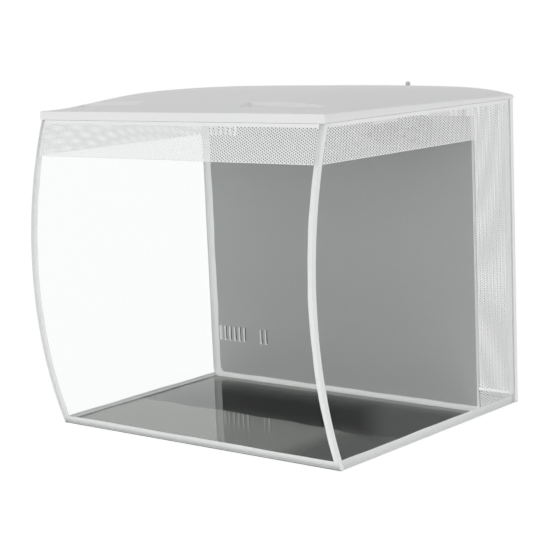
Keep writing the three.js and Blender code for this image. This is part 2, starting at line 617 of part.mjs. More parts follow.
function addHoodShell() {
  const outside = domeSolid(0, 0, HOOD_BOTTOM);
  const inside = domeSolid(HOOD_WALL, HOOD_WALL, HOOD_BOTTOM - 1);
  const hollow = cut(inside, scoop(-1, HOOD_WALL), scoop(1, HOOD_WALL));
  const cableNotch = block([126, 154], [REAR_INNER_Y, REAR_Y + 5], [HOOD_BOTTOM - 1, RIM_Z + 7.5]);
  const shell = cut(outside, scoop(-1, 0), scoop(1, 0), hollow, cableNotch);

  const tabs = [];
  for (const sign of [-1, 1]) {
    for (const y of [[-70, -30], [30, 70]]) {
      tabs.push(block([sign * 196.8, sign * 199.2], y, [RIM_Z - 8, HOOD_BOTTOM + 2.2]));
      tabs.push(block([sign * 196.8, sign * 204.5], y, [HOOD_BOTTOM, HOOD_BOTTOM + 2.2]));
    }
  }
  for (const x of [[-120, -70], [20, 70]]) {
    tabs.push(block(x, [186.4, 188.8], [RIM_Z - 8, HOOD_BOTTOM + 2.2]));
    tabs.push(block(x, [186.4, 194.5], [HOOD_BOTTOM, HOOD_BOTTOM + 2.2]));
  }
  const bosses = SCREW_SPOTS.map(
    ([x, y]) => rodZ(4, x, y, [BOSS_BOTTOM, RIM_Z + domeHeight(x, y) - 1.2], SMALL_ROUND));
  const pilotZ = [BOSS_BOTTOM - 1, BOSS_BOTTOM + 4.5];
  const pilots = SCREW_SPOTS.map(([x, y]) => rodZ(1.7, x, y, pilotZ, PIN_ROUND));
  const receiverHole = rodZ(2.2, ...RECEIVER_AT, [RIM_Z, RIM_Z + 40], SMALL_ROUND);
  add("hood_shell", cut(join(shell, ...tabs, ...bosses), ...pilots, receiverHole), "whitePlastic");

  const seat = RIM_Z + domeHeight(...RECEIVER_AT);
  const dome = [[0, seat + 5], [1.6, seat + 4.6], [2.8, seat + 3], [3, seat + 0.4], [1.9, seat + 0.4],
    [1.9, seat - 5], [0, seat - 5]];
  const outline = dome.reverse().map(([radius, height]) => new THREE.Vector2(radius, height));
  const receiver = new THREE.LatheGeometry(outline, SMALL_ROUND).rotateX(Math.PI / 2);
  add("signal_receiver", receiver.translate(...RECEIVER_AT, 0), "receiver");
}

// ---------------------------------------------------------------- lamp and cables

function addLamp() {
  const wall = 2;
  const outX = [-LAMP_HALF_X, LAMP_HALF_X];
  const inX = [outX[0] + wall, outX[1] - wall];
  const inY = [LAMP_Y[0] + wall, LAMP_Y[1] - wall];
  const tray = prismZ(roundedRectangle(outX, LAMP_Y, 10), [LAMP_BOTTOM, LAMP_TOP], 3);
  const hollow = prismZ(roundedRectangle(inX, inY, 8), [LAMP_BOTTOM - 1, LAMP_TOP - wall], 3);
  const ears = SCREW_SPOTS.map(([x, y]) => rodZ(6, x, y, [LAMP_TOP - 3, LAMP_TOP - 0.3], SMALL_ROUND));
  const links = SCREW_SPOTS.map(([x, y]) => {
    const near = Math.sign(x) * (LAMP_HALF_X - 1);
    return block([near, x], [y - 5, y + 5], [LAMP_TOP - 3, LAMP_TOP - 0.3]);
  });
  const holes = SCREW_SPOTS.map(([x, y]) => rodZ(1.9, x, y, [LAMP_TOP - 4, LAMP_TOP + 1], PIN_ROUND));
  add("lamp_housing", cut(join(cut(tray, hollow), ...ears, ...links), ...holes), "whitePlastic");

  const boardShape = roundedRectangle([inX[0] + 3, inX[1] - 3], [inY[0] + 3, inY[1] - 3], 5);
  add("lamp_board", prismZ(boardShape, [LAMP_BOTTOM + 8, LAMP_BOTTOM + 9.6], 3), "board");
  const lensShape = roundedRectangle([inX[0] + 0.3, inX[1] - 0.3], [inY[0] + 0.3, inY[1] - 0.3], 7.5);
  add("lamp_lens", prismZ(lensShape, [LAMP_BOTTOM + 0.5, LAMP_BOTTOM + 2.5], 4), "lens");

  SCREW_SPOTS.forEach(([x, y], index) => {
    const head = rodZ(3, x, y, [LAMP_TOP - 5, LAMP_TOP - 3.3], SMALL_ROUND);
    const shank = rodZ(1.4, x, y, [LAMP_TOP - 3.5, LAMP_TOP + 4], PIN_ROUND);
    add(`lamp_screw_${index + 1}`, join(head, shank), "steel");
  });
}

function addCables() {
  const overRim = RIM_Z + 4;
  const lamp = [
    [120, LAMP_Y[1] + 0.5, 364], [120, 24, 365], [126, 90, 369], [131, 160, 366], [133, 186, overRim],
    [133, REAR_Y - 0.5, overRim],
  ];
  add("lamp_cable", sweep(lamp, 1.9, 0, 14, 4), "whitePlastic");
  const pump = [
    [124, PUMP_AXIS_Y + 22.5, 52], [124, 179, 52], [125, 183, 57], [136, 184, 95], [144, 183, 160],
    [146, 183, 300], [146, 180, 340], [146, 183, 358], [146, 189, overRim], [146, REAR_Y - 0.5, overRim],
  ];
  add("pump_cable", sweep(pump, 2.3, 0, 26, 4), "whitePlastic");
}

addPanes();
addCornerSeals();
addFloorSeal();
addFilms();
addDivider();
addChamberWalls();
addFoamCarrier();
addMediaBasket();
addPump();
addOutletPlumbing();
addOutlet("left", OUTLET_X[0]);
addOutlet("right", OUTLET_X[1]);
addHoodShell();
addLamp();
addCables();

export default aquarium;
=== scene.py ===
import math

import bmesh
import bpy
import mathutils.noise
import numpy as np
from mathutils import Matrix, Vector


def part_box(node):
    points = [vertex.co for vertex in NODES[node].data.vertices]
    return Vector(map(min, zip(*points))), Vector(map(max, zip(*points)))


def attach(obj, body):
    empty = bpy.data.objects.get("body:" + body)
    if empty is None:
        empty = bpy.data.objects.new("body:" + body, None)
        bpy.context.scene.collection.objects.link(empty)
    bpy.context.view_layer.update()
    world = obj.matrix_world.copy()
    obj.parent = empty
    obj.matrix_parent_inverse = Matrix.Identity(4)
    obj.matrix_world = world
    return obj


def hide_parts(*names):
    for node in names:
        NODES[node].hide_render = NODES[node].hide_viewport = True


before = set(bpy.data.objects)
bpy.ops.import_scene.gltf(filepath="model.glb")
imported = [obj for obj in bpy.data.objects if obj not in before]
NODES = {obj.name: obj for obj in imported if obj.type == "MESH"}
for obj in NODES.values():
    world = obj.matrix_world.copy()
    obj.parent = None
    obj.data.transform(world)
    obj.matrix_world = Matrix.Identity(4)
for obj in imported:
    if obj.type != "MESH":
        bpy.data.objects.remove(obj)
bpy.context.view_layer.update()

# A bow-front glass aquarium with a domed hood. Metres, +Z up, the bowed front faces -Y.
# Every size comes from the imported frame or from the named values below.

MM = 0.001

# ---- sizes read from the frame

front_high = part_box("front_glass")[1]
rear_low, rear_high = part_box("rear_glass")
floor_low, floor_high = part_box("floor_glass")
divider_low, divider_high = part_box("rear_divider")
film_low, film_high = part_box("front_film")
sheet_low, sheet_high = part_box("right_film")
hood_low, hood_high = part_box("hood_shell")

HALF_WIDTH = front_high.x
RIM = front_high.z
REAR = rear_high.y
GLASS = rear_high.y - rear_low.y
INNER_X = HALF_WIDTH - GLASS
INNER_REAR = rear_low.y
FLOOR_TOP = floor_high.z
DIVIDER_Y = divider_low.y
DIVIDER_BACK = divider_high.y

# Silicone beads: the gap they fill and how far they stand along each pane.
JOINT = 1.0 * MM
BOND = 0.03 * MM
FRONT_BEAD = {"left": 1.3 * MM, "right": 4.2 * MM}
CORNER_BEAD = 4.2 * MM
REAR_STRETCH = 2.1
FLOOR_BEAD = 3.4 * MM
HAND_WAVER = 0.22 * MM
SIDES = (("left", -1), ("right", 1))


def outer_arc_corners():
    """The lowest, a middle and the highest (y, z) corner of the front pane's outer arc."""
    rows = {}
    for vertex in NODES["front_glass"].data.vertices:
        level = round(vertex.co.z, 5)
        rows[level] = min(rows.get(level, 1.0), vertex.co.y)
    levels = sorted(rows)
    bulge = min(levels, key=lambda level: rows[level])
    return [(rows[level], level) for level in (levels[0], bulge, levels[-1])]


def circle_through(first, second, third):
    """Centre (y, z) and radius of the circle through three points."""
    (ay, az), (by, bz), (cy, cz) = first, second, third
    d = 2 * (ay * (bz - cz) + by * (cz - az) + cy * (az - bz))
    a2, b2, c2 = ay * ay + az * az, by * by + bz * bz, cy * cy + cz * cz
    y = (a2 * (bz - cz) + b2 * (cz - az) + c2 * (az - bz)) / d
    z = (a2 * (cy - by) + b2 * (ay - cy) + c2 * (by - ay)) / d
    return y, z, math.hypot(ay - y, az - z)


BOW_Y, BOW_Z, BOW_RADIUS = circle_through(*outer_arc_corners())
INNER_BOW = BOW_RADIUS - GLASS


def bow_y(radius, z):
    return BOW_Y - math.sqrt(radius ** 2 - (z - BOW_Z) ** 2)


def bow_angle(radius, z):
    """Angle below the horizontal, seen from the bow's centre, of the arc point at height z."""
    return math.asin((BOW_Z - z) / radius)


def bow_point(radius, angle):
    return BOW_Y - radius * math.cos(angle), BOW_Z - radius * math.sin(angle)


# ---- node material helpers

class Shader:
    """The node tree of a material or of the world, with short calls for the nodes used here."""

    def __init__(self, name, library="materials", output="OutputMaterial"):
        self.owner = getattr(bpy.data, library).new(name)
        self.owner.use_nodes = True
        self.tree = self.owner.node_tree
        self.tree.nodes.clear()
        self.output = self.node(output)
        self.place = self.node("TexCoord").outputs["Object"]

    def feed(self, socket, value):
        """Links another node's output to a socket, or gives the socket a plain value."""
        if isinstance(value, bpy.types.NodeSocket):
            self.tree.links.new(value, socket)
        else:
            socket.default_value = value

    def node(self, kind, *values, **settings):
        """A node whose inputs take the values in order; settings name a property or an input."""
        node = self.tree.nodes.new("ShaderNode" + kind)
        for socket, value in zip(node.inputs, values):
            self.feed(socket, value)
        for key, value in settings.items():
            if hasattr(node, key):
                setattr(node, key, value)
            else:
                self.feed(node.inputs[key.replace("_", " ")], value)
        return node

    def math(self, operation, first, second=0.0):
        return self.node("Math", first, second, operation=operation).outputs[0]

    def noise(self, size, detail=3.0, roughness=0.5):
        """Noise whose blobs are about size metres across."""
        return self.node("TexNoise", Vector=self.place, Scale=1 / size, Detail=detail,
                         Roughness=roughness).outputs["Fac"]

    def cells(self, size):
        return self.node("TexVoronoi", Vector=self.place, Scale=1 / size).outputs["Distance"]

    def range(self, value, low, high, to_low, to_high, shape="LINEAR"):
        return self.node("MapRange", value, low, high, to_low, to_high,
                         interpolation_type=shape).outputs["Result"]

    def soft(self, value, low, high, to_low, to_high):
        """Like range, but it starts and ends gently."""
        return self.range(value, low, high, to_low, to_high, "SMOOTHSTEP")

    def axis(self, name):
        return self.node("SeparateXYZ", self.place).outputs[name]

    def zigzag(self, along, width):
        """Rises from 0 to 1 over each width and falls back over the next."""
        return self.math("PINGPONG", self.math("MULTIPLY", along, 1 / width), 1.0)

    def tint(self, factor, low, high):
        """A colour that goes from low to high as factor goes from 0 to 1."""
        ramp = self.node("ValToRGB", factor)
        ramp.color_ramp.elements[0].color = colour(low)
        ramp.color_ramp.elements[1].color = colour(high)
        return ramp.outputs["Color"]

    def bump(self, height, distance, strength=0.4):
        return self.node("Bump", Height=height, Distance=distance, Strength=strength).outputs["Normal"]

    def glow(self, strength):
        return self.node("Emission", WHITE_LIGHT, strength).outputs[0]

    def seen(self):
        """1 for light that reaches the eye, directly, through glass or by a mirror; otherwise 0."""
        rays = self.node("LightPath").outputs
        indirect = self.math("MAXIMUM", rays["Is Transmission Ray"], rays["Is Glossy Ray"])
        return self.math("MAXIMUM", rays["Is Camera Ray"], indirect)

    def principled(self, **settings):
        return self.node("BsdfPrincipled", **settings).outputs["BSDF"]

    def mix(self, factor, first, second):
        return self.node("MixShader", factor, first, second).outputs[0]

    def finish(self, shader):
        self.tree.links.new(shader, self.output.inputs["Surface"])
        return self.owner

    def surface(self, **settings):
        return self.finish(self.principled(**settings))


WHITE_LIGHT = (1.0, 1.0, 1.0, 1.0)


def colour(value):
    """A linear RGBA from a grey level or an RGB, each given in display terms from 0 to 1."""
    parts = (value,) * 3 if isinstance(value, (int, float)) else value
    return tuple(p / 12.92 if p <= 0.04045 else ((p + 0.055) / 1.055) ** 2.4 for p in parts) + (1.0,)


# ---- materials

def glass_material():
    """Clear low-reflection glass that lets lamp light straight through to what is behind it."""
    s = Shader("clear_glass")
    tint = colour((0.992, 0.995, 0.994))
    glass = s.principled(Base_Color=tint, Roughness=0.0, IOR=1.12, Transmission_Weight=1.0,
                         Normal=s.bump(s.noise(60 * MM, 1.0), 0.02 * MM, 0.1))
    rays = s.node("LightPath").outputs
    through = s.math("MAXIMUM", rays["Is Shadow Ray"], rays["Is Diffuse Ray"])
    clear = s.node("BsdfTransparent", tint).outputs["BSDF"]
    return s.finish(s.mix(through, glass, clear))


def ground_edge_material():
    """The ground and arrised edge of a pane: pale, frosted, faintly streaked, and darker at its foot as
    painted contact shade.
    """
    s = Shader("ground_edge")
    streak = s.noise(1.5 * MM, 4.0)
    # Painted contact shade: the edge darkens below about 1.2 mm.
    above_foot_shade = s.range(s.axis("Z"), 0.4 * MM, 1.2 * MM, 0.0, 1.0)
    streak_and_foot_shade = s.math("MULTIPLY", above_foot_shade, s.range(streak, 0, 1, 0.9, 1.0))
    return s.surface(Base_Color=s.tint(streak_and_foot_shade, (0.45, 0.46, 0.46), (0.94, 0.945, 0.943)),
                     Roughness=0.35, Normal=s.bump(streak, 0.02 * MM))


def mottled(name, noise, low, high, roughness, relief=None, **extra):
    """A finish whose tone, roughness and relief drift with one noise."""
    s = Shader(name)
    patch = s.noise(*noise)
    if relief:
        extra["Normal"] = s.bump(patch, relief)
    if isinstance(roughness, tuple):
        roughness = s.range(patch, 0, 1, *roughness)
    return s.surface(Base_Color=s.tint(patch, low, high), Roughness=roughness, **extra)


def print_material():
    """White ceramic ink printed on glass; some light comes through it, and it glows faintly as painted
    light.
    """
    s = Shader("honeycomb_print")
    base = s.tint(s.noise(2.5 * MM, 2.0), (0.94, 0.943, 0.943), (0.96, 0.96, 0.96))
    # The faint emission is painted light that brightens the ink.
    ink_with_painted_glow = s.principled(Base_Color=base, Roughness=0.5, Emission_Color=WHITE_LIGHT,
                       Emission_Strength=0.04)
    lit_through = s.node("BsdfTranslucent", base).outputs["BSDF"]
    return s.finish(s.mix(0.14, ink_with_painted_glow, lit_through))


def grained_plastic(name, low, high, roughness, grain=0.35 * MM, **extra):
    """Moulded plastic: fine spark-eroded grain and a slow drift in tone."""
    s = Shader(name)
    fine = s.noise(grain, 3.0, 0.6)
    rough = s.range(fine, 0.3, 0.7, roughness - 0.05, roughness + 0.06)
    return s.surface(Base_Color=s.tint(s.noise(70 * MM, 2.0), low, high), Roughness=rough,
                     Normal=s.bump(fine, 0.004 * MM), **extra)


def panel_material():
    """The matt grey divider sheet, a little lighter towards its foot.

    As seen in the floor's mirror, its colour gets painted shade above the foot bead's pale reflection,
    except towards the right wall.
    """
    s = Shader("grey_panel")
    x, z = s.axis("X"), s.axis("Z")
    drift = s.math("MULTIPLY", s.noise(70 * MM, 2.0), 0.1)
    level = s.math("ADD", s.soft(z, 0.0, 150 * MM, 1.0, 0.0), drift)
    base = s.tint(level, (0.65, 0.653, 0.656), (0.69, 0.693, 0.697))
    # Painted shade for the mirror image: how much of the colour each height keeps.
    above = s.soft(z, 44 * MM, 66 * MM, 0.15, 0.85)
    below = s.soft(z, 6 * MM, 34 * MM, 0.9, 0.15)
    to_right = s.soft(x, 10 * MM, 80 * MM, 0.0, 1.0)
    shade = s.math("MAXIMUM", s.math("MAXIMUM", above, below), to_right)
    rays = s.node("LightPath").outputs
    mirrored = s.math("SUBTRACT", rays["Is Glossy Ray"], rays["Is Transmission Ray"])
    painted_mirror_shade = s.math("MULTIPLY", mirrored, s.math("SUBTRACT", 1.0, shade))
    kept = s.math("SUBTRACT", 1.0, painted_mirror_shade)
    tone = s.node("MixRGB", kept, (0, 0, 0, 1), base).outputs["Color"]
    return s.surface(Base_Color=tone, Roughness=0.5, Specular_IOR_Level=0.3)


def floor_material():
    """The floor: dark and mirror-smooth, with painted light in an uneven pale zone along the bowed
    front.

    The paint under the pane also lightens softly towards the left wall and the divider's foot, as
    painted light and a painted glow reflected from that foot.
    """
    s = Shader("floor_glass")
    x, y = s.axis("X"), s.axis("Y")
    stretched = s.node("Mapping", Vector=s.place, Scale=(1, 0.2, 1)).outputs[0]
    wave = s.node("TexNoise", Vector=stretched, Scale=1 / (90 * MM), Detail=1.0).outputs["Fac"]
    edge = s.math("ADD", y, s.math("MULTIPLY", s.math("SUBTRACT", wave, 0.5), 30 * MM))
    # Painted light: the paler zone along the bowed front, dimmer to the right.
    front = s.soft(edge, -39 * MM, -33 * MM, 1.0, 0.0)
    front_light_fade = s.soft(x, 90 * MM, 150 * MM, 1.0, 0.25)
    # Painted glow reflected from the divider's foot.
    divider_foot_glow = s.math("MULTIPLY", s.soft(y, 66 * MM, DIVIDER_Y, 0.0, 1.0),
                          s.range(y, DIVIDER_Y, DIVIDER_BACK, 1.0, 0.0))
    # Painted light towards the left wall.
    left_wall_light = s.soft(x, -INNER_X, -120 * MM, 1.0, 0.0)
    level = s.math("MULTIPLY", s.math("MULTIPLY", front, front_light_fade), 1.05)
    level = s.math("ADD", level, s.math("MULTIPLY", divider_foot_glow, 0.9))
    level = s.math("ADD", level, s.math("MULTIPLY", left_wall_light, 0.35))
    # The ramp runs from the floor's dark paint to its painted light.
    ramp = s.node("ValToRGB", level)
    ramp.color_ramp.elements[0].color = (0.004, 0.0045, 0.004, 1.0)
    ramp.color_ramp.elements[1].color = (0.24, 0.25, 0.225, 1.0)
    return s.surface(Base_Color=ramp.outputs["Color"], Roughness=0.02, IOR=1.46,
                     Specular_Tint=(0.95, 1.0, 0.97, 1.0))


def foam_material():
    """Open-cell filter foam, charcoal; its pores are darkened as painted shade."""
    s = Shader("filter_foam")
    cells = s.cells(1.7 * MM)
    # Painted shade: darker towards each pore's centre.
    base = s.tint(s.range(cells, 0.15, 0.75, 0.0, 1.0), (0.10, 0.10, 0.11), (0.30, 0.31, 0.32))
    return s.surface(Base_Color=base, Roughness=0.95, Sheen_Weight=0.2,
                     Normal=s.bump(cells, 0.5 * MM, 0.8))


def netting_material(name, thread, filling):
    """A knitted net bag over loose filling: threads in a diamond net, granules in between, with painted
    shade in the gaps between granules.
    """
    s = Shader(name)
    grains = s.cells(3.4 * MM)
    x, z = s.axis("X"), s.axis("Z")
    rising = s.zigzag(s.math("ADD", x, z), 2.2 * MM)
    falling = s.zigzag(s.math("SUBTRACT", x, z), 2.2 * MM)
    net = s.range(s.math("MINIMUM", rising, falling), 0.14, 0.26, 1.0, 0.0)
    # Painted shade between the granules.
    gap_shade = tuple(c * 0.45 for c in filling)
    fill = s.tint(s.range(grains, 0.1, 0.7, 1.0, 0.0), gap_shade, filling)
    mixed = s.node("MixRGB", net, fill, colour(thread)).outputs["Color"]
    height = s.math("MAXIMUM", net, s.math("SUBTRACT", 0.8, grains))
    return s.surface(Base_Color=mixed, Roughness=0.85, Normal=s.bump(height, 0.7 * MM, 0.7))


def steel_material():
    """Steel with fine scratches."""
    s = Shader("steel_screw")
    scratch = s.noise(0.8 * MM, 5.0, 0.7)
    return s.surface(Base_Color=colour((0.80, 0.80, 0.81)), Metallic=1.0,
                     Normal=s.bump(scratch, 0.01 * MM), Roughness=s.range(scratch, 0.2, 0.8, 0.21, 0.42))


def board_material():
    """White solder mask with faint copper traces under it."""
    s = Shader("lamp_board")
    trace = s.range(s.zigzag(s.axis("Y"), 6 * MM), 0.08, 0.16, 1.0, 0.0)
    return s.surface(Base_Color=s.tint(trace, (0.93, 0.93, 0.92), (0.86, 0.87, 0.84)),
                     Roughness=0.4, Coat_Weight=0.3, Normal=s.bump(trace, 0.1 * MM))


def lens_material():
    """Opal polycarbonate lamp lens with fine ribs along its length."""
    s = Shader("lamp_lens")
    haze = s.noise(5 * MM, 2.0)
    ribs = s.zigzag(s.axis("Y"), 1.5 * MM)
    return s.surface(Base_Color=s.tint(haze, (0.93, 0.94, 0.95), (0.97, 0.975, 0.98)),
                     Roughness=0.25, Transmission_Weight=0.35, IOR=1.55,
                     Normal=s.bump(ribs, 0.5 * MM, 0.6))


def stage_material():
    """The pale studio floor: nearly white, with only the closest contact shadow left."""
    s = Shader("studio_floor")
    paper = s.node("BsdfDiffuse", s.tint(s.noise(40 * MM, 2.0), 0.38, 0.39)).outputs["BSDF"]
    glow = s.mix(s.seen(), s.glow(STAGE_BOUNCE), s.glow(STAGE_SEEN))
    return s.finish(s.node("AddShader", paper, glow).outputs[0])


STAGE_SEEN = 0.93
STAGE_BOUNCE = 0.80

GLASS_SKIN = glass_material()
EDGE = ground_edge_material()
SILICONE = mottled("white_silicone", (9 * MM, 2.0), (0.93, 0.932, 0.932), (0.955, 0.956, 0.956),
                   (0.3, 0.45), 0.12 * MM)
PRINT = print_material()
HOOD = grained_plastic("hood_plastic", (0.905, 0.907, 0.907), (0.92, 0.921, 0.921), 0.45,
                       Specular_IOR_Level=0.3)
WHITE = grained_plastic("white_plastic", (0.88, 0.885, 0.885), (0.92, 0.92, 0.92), 0.4)
PANEL = panel_material()
GREY = grained_plastic("grey_plastic", (0.566, 0.567, 0.569), (0.578, 0.58, 0.584), 0.45)
# Painted light: a pale, faintly glowing finish for the divider's cut slot walls.
SLOT_WALL_GLOW = grained_plastic("slot_wall_glow", (0.86, 0.86, 0.86), (0.9, 0.9, 0.9), 0.5,
                            Emission_Color=WHITE_LIGHT, Emission_Strength=0.27)
BLACK = grained_plastic("black_plastic", (0.10, 0.105, 0.11), (0.14, 0.142, 0.15), 0.42)
RUBBER = grained_plastic("black_rubber", (0.09, 0.09, 0.095), (0.13, 0.13, 0.135), 0.7, 0.8 * MM)
CERAMIC = grained_plastic("ceramic_shaft", (0.93, 0.92, 0.89), (0.96, 0.955, 0.94), 0.22)
RECEIVER = grained_plastic("receiver_lens", (0.74, 0.745, 0.75), (0.80, 0.80, 0.805), 0.2,
                           Coat_Weight=0.6)
FLOOR = floor_material()
BACKING = mottled("floor_backing", (8 * MM, 3.0), (0.09, 0.095, 0.09), (0.13, 0.135, 0.13), 0.6,
                  0.05 * MM)
HOSE = mottled("hose_vinyl", (12 * MM, 2.0), (0.20, 0.21, 0.22), (0.27, 0.28, 0.29), 0.35, 0.1 * MM,
               Coat_Weight=0.3)
FOAM = foam_material()
CARBON_BAG = netting_material("carbon_media", (0.62, 0.63, 0.64), (0.13, 0.13, 0.14))
CERAMIC_BAG = netting_material("ceramic_media", (0.93, 0.93, 0.92), (0.86, 0.80, 0.71))
MAGNET = mottled("rotor_magnet", (0.6 * MM, 5.0, 0.7), (0.17, 0.17, 0.18), (0.30, 0.30, 0.31), 0.55,
                 0.08 * MM, Metallic=0.25)
BOARD = board_material()
PHOSPHOR = mottled("lamp_phosphor", (0.4 * MM, 2.0), (0.93, 0.86, 0.45), (0.98, 0.92, 0.58), 0.35,
                   Emission_Color=colour((1.0, 0.98, 0.92)), Emission_Strength=0.35)
LENS = lens_material()
STEEL = steel_material()


# ---- mesh helpers

def linked(name, mesh):
    """A new object for a mesh, or for a camera, put into the scene."""
    piece = bpy.data.objects.new(name, mesh)
    bpy.context.scene.collection.objects.link(piece)
    return piece


def meshed(name, work):
    """The mesh of a bmesh, which is freed."""
    mesh = bpy.data.meshes.new(name)
    work.to_mesh(mesh)
    work.free()
    return mesh


def fitted(piece, materials, body, slot, *replaced):
    """Gives a piece its finishes and its body; it stands for the replaced CAD nodes."""
    for material in materials:
        piece.data.materials.append(material)
    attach(piece, body)
    if replaced:
        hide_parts(*replaced)
    return piece


def new_piece(name, points, faces, materials, body, slot, *replaced, smooth_angle=35):
    """A closed piece from points and faces, turned outwards, smooth except at sharp edges."""
    mesh = bpy.data.meshes.new(name)
    mesh.from_pydata([tuple(p) for p in points], [], faces)
    mesh.validate()
    work = bmesh.new()
    work.from_mesh(mesh)
    bmesh.ops.recalc_face_normals(work, faces=work.faces)
    work.to_mesh(mesh)
    work.free()
    mesh.shade_smooth()
    mesh.set_sharp_from_angle(angle=math.radians(smooth_angle))
    return fitted(linked(name, mesh), materials, body, slot, *replaced)


def ring_faces(ring_count, ring_size, closed=False):
    """Quads between neighbouring rings of points, with flat caps unless the rings close up."""
    faces = []
    for ring in range(ring_count if closed else ring_count - 1):
        here = ring * ring_size
        there = ((ring + 1) % ring_count) * ring_size
        for step in range(ring_size):
            after = (step + 1) % ring_size
            faces.append((here + step, here + after, there + after, there + step))
    if not closed:
        start = (ring_count - 1) * ring_size
        faces.append(tuple(range(ring_size - 1, -1, -1)))
        faces.append(tuple(range(start, start + ring_size)))
    return faces


def loft(name, rings, materials, body, slot, *replaced, closed=False, smooth_angle=35):
    points = [point for ring in rings for point in ring]
    faces = ring_faces(len(rings), len(rings[0]), closed)
    return new_piece(name, points, faces, materials, body, slot, *replaced,
                     smooth_angle=smooth_angle)


def rectangle(low, high, z):
    """The corners of a level rectangle that lies between two corners."""
    return [(low[0], low[1], z), (high[0], low[1], z), (high[0], high[1], z), (low[0], high[1], z)]


def bevelled(piece, width, angle=35):
    modifier = piece.modifiers.new("arris", "BEVEL")
    modifier.width = width
    modifier.segments = 2
    modifier.limit_method = "ANGLE"
    modifier.angle_limit = math.radians(angle)
    modifier.harden_normals = True
    return piece


def steps(low, high, count):
    return [low + (high - low) * index / count for index in range(count + 1)]


def loop_pairs(items):
    """Each item of a closed loop, with the one after it."""
    return zip(items, items[1:] + items[:1])


def grid_quads(rows):
    """The four items round each cell of a grid given as rows."""
    for low, high in zip(rows, rows[1:]):
        yield from zip(low, low[1:], high[1:], high)


def fillet(size, count=7):
    """A hollow quarter round from (size, 0) to (0, size), as a tooled bead has."""
    turns = steps(0, math.pi / 2, count)
    return [(size * (1 - math.sin(a)), size * (1 - math.cos(a))) for a in turns]


def waver(index, seed):
    """A slow hand-made wobble along a bead."""
    return HAND_WAVER * (math.sin(0.37 * index + seed) + 0.6 * math.sin(0.83 * index + 2.1 * seed))


# ---- glass

ARC_STEPS = 72
ARRIS = 0.45 * MM


def pane(node, section, heights, finishes, is_edge, slot="clear_glass", bevel=ARRIS):
    """A pane lofted through the rectangles between the two corners that section(z) gives.

    Its second finish goes on the faces for whose normal is_edge is true.
    """
    rings = [rectangle(*section(z), z) for z in heights]
    piece = loft(f"{node}_pane", rings, finishes, "tank", slot, node)
    for face in piece.data.polygons:
        if is_edge(face.normal):
            face.material_index = 1
    bevelled(piece, bevel)


def glass():
    arc = steps(0, RIM, ARC_STEPS)
    pane("front_glass",
         lambda z: ((-HALF_WIDTH, bow_y(BOW_RADIUS, z)), (HALF_WIDTH, bow_y(INNER_BOW, z))),
         arc, [GLASS_SKIN, EDGE], lambda normal: abs(normal.x) > 0.7 or abs(normal.z) > 0.9)
    for side, sign in SIDES:
        pane(f"{side}_glass",
             lambda z: ((sign * INNER_X, bow_y(INNER_BOW - JOINT, z)),
                        (sign * HALF_WIDTH, INNER_REAR - JOINT)),
             arc, [GLASS_SKIN, SILICONE], lambda normal: abs(normal.x) < 0.7)
    pane("rear_glass", lambda z: (rear_low, rear_high), steps(rear_low.z, rear_high.z, 6),
         [GLASS_SKIN, EDGE], lambda normal: abs(normal.y) < 0.7)
    pane("floor_glass", lambda z: (floor_low, floor_high), steps(floor_low.z, floor_high.z, 6),
         [FLOOR, EDGE], lambda normal: abs(normal.z) < 0.7, "floor_glass", 0.3 * MM)
    NODES["floor_backing"].data.materials[0] = BACKING


# ---- silicone

BEAD_END = 0.25 * MM
BEAD_FOOT = 0.3 * MM
FLOOR_BEAD_STEPS = 40


def bead(name, rings, *replaced, closed=False):
    loft(name, rings, [SILICONE], "tank", "white_silicone", *replaced, closed=closed,
         smooth_angle=60)


def corner_section(size, stretch=1.0):
    """(inwards from the side pane, inwards from the front or rear pane) points of a joint."""
    rounding = [(max(across, BOND), max(deep * stretch, BOND)) for across, deep in fillet(size)]
    return [(BOND - GLASS, BOND)] + rounding + [(BOND, JOINT - BOND), (BOND - GLASS, JOINT - BOND)]


def corner_seals(side, sign):
    """The beads in the front and the rear corner of one side."""
    heights = steps(BEAD_END, RIM - BEAD_END, ARC_STEPS)
    rings = []
    for index, z in enumerate(heights):
        angle = bow_angle(INNER_BOW, z)
        ring = []
        for across, deep in corner_section(FRONT_BEAD[side] + waver(index, sign)):
            y, height = bow_point(INNER_BOW - deep, angle)
            ring.append((sign * (INNER_X - across), y, min(max(height, 0.0), RIM)))
        rings.append(ring)
    bead(f"{side}_front_bead", rings, f"{side}_front_seal")
    rings = []
    for index, z in enumerate(heights):
        section = corner_section(CORNER_BEAD + waver(index, 3 + sign), REAR_STRETCH)
        rings.append([(sign * (INNER_X - across), INNER_REAR - deep, z) for across, deep in section])
    bead(f"{side}_rear_bead", rings, f"{side}_rear_seal")


def floor_seal():
    """One bead round the floor, also filling the gap between the floor pane and the walls."""
    corners = [Vector(corner) for corner in ((-1, -1), (1, -1), (1, 1), (-1, 1))]
    stations = []
    for start, end in loop_pairs(corners):
        stations += [start.lerp(end, k / FLOOR_BEAD_STEPS) for k in range(FLOOR_BEAD_STEPS)]
    rings = []
    for index, station in enumerate(stations):
        outline = [(0.0, BEAD_FOOT)]
        outline += [(in_by, FLOOR_TOP + up) for up, in_by in fillet(FLOOR_BEAD + waver(index, 5))]
        outline += [(JOINT, FLOOR_TOP), (JOINT, BEAD_FOOT)]
        ring = []
        for inward, z in outline:
            front = bow_y(INNER_BOW, z) + inward
            rear = INNER_REAR - inward
            y = front + (rear - front) * (station.y + 1) / 2
            ring.append((station.x * (INNER_X - inward), y, z))
        rings.append(ring)
    bead("floor_bead", rings, "floor_seal", closed=True)


# How far the divider's bead stands out along the panel on each side, and along the pane.
LEFT_BEAD = (9 * MM, 3 * MM)
RIGHT_BEAD = (0.5 * MM, 0.4 * MM)
FOOT_BEAD = (5.2 * MM, 5.2 * MM)
LEFT_TURN = 6 * MM
RIGHT_TURN = 0.6 * MM
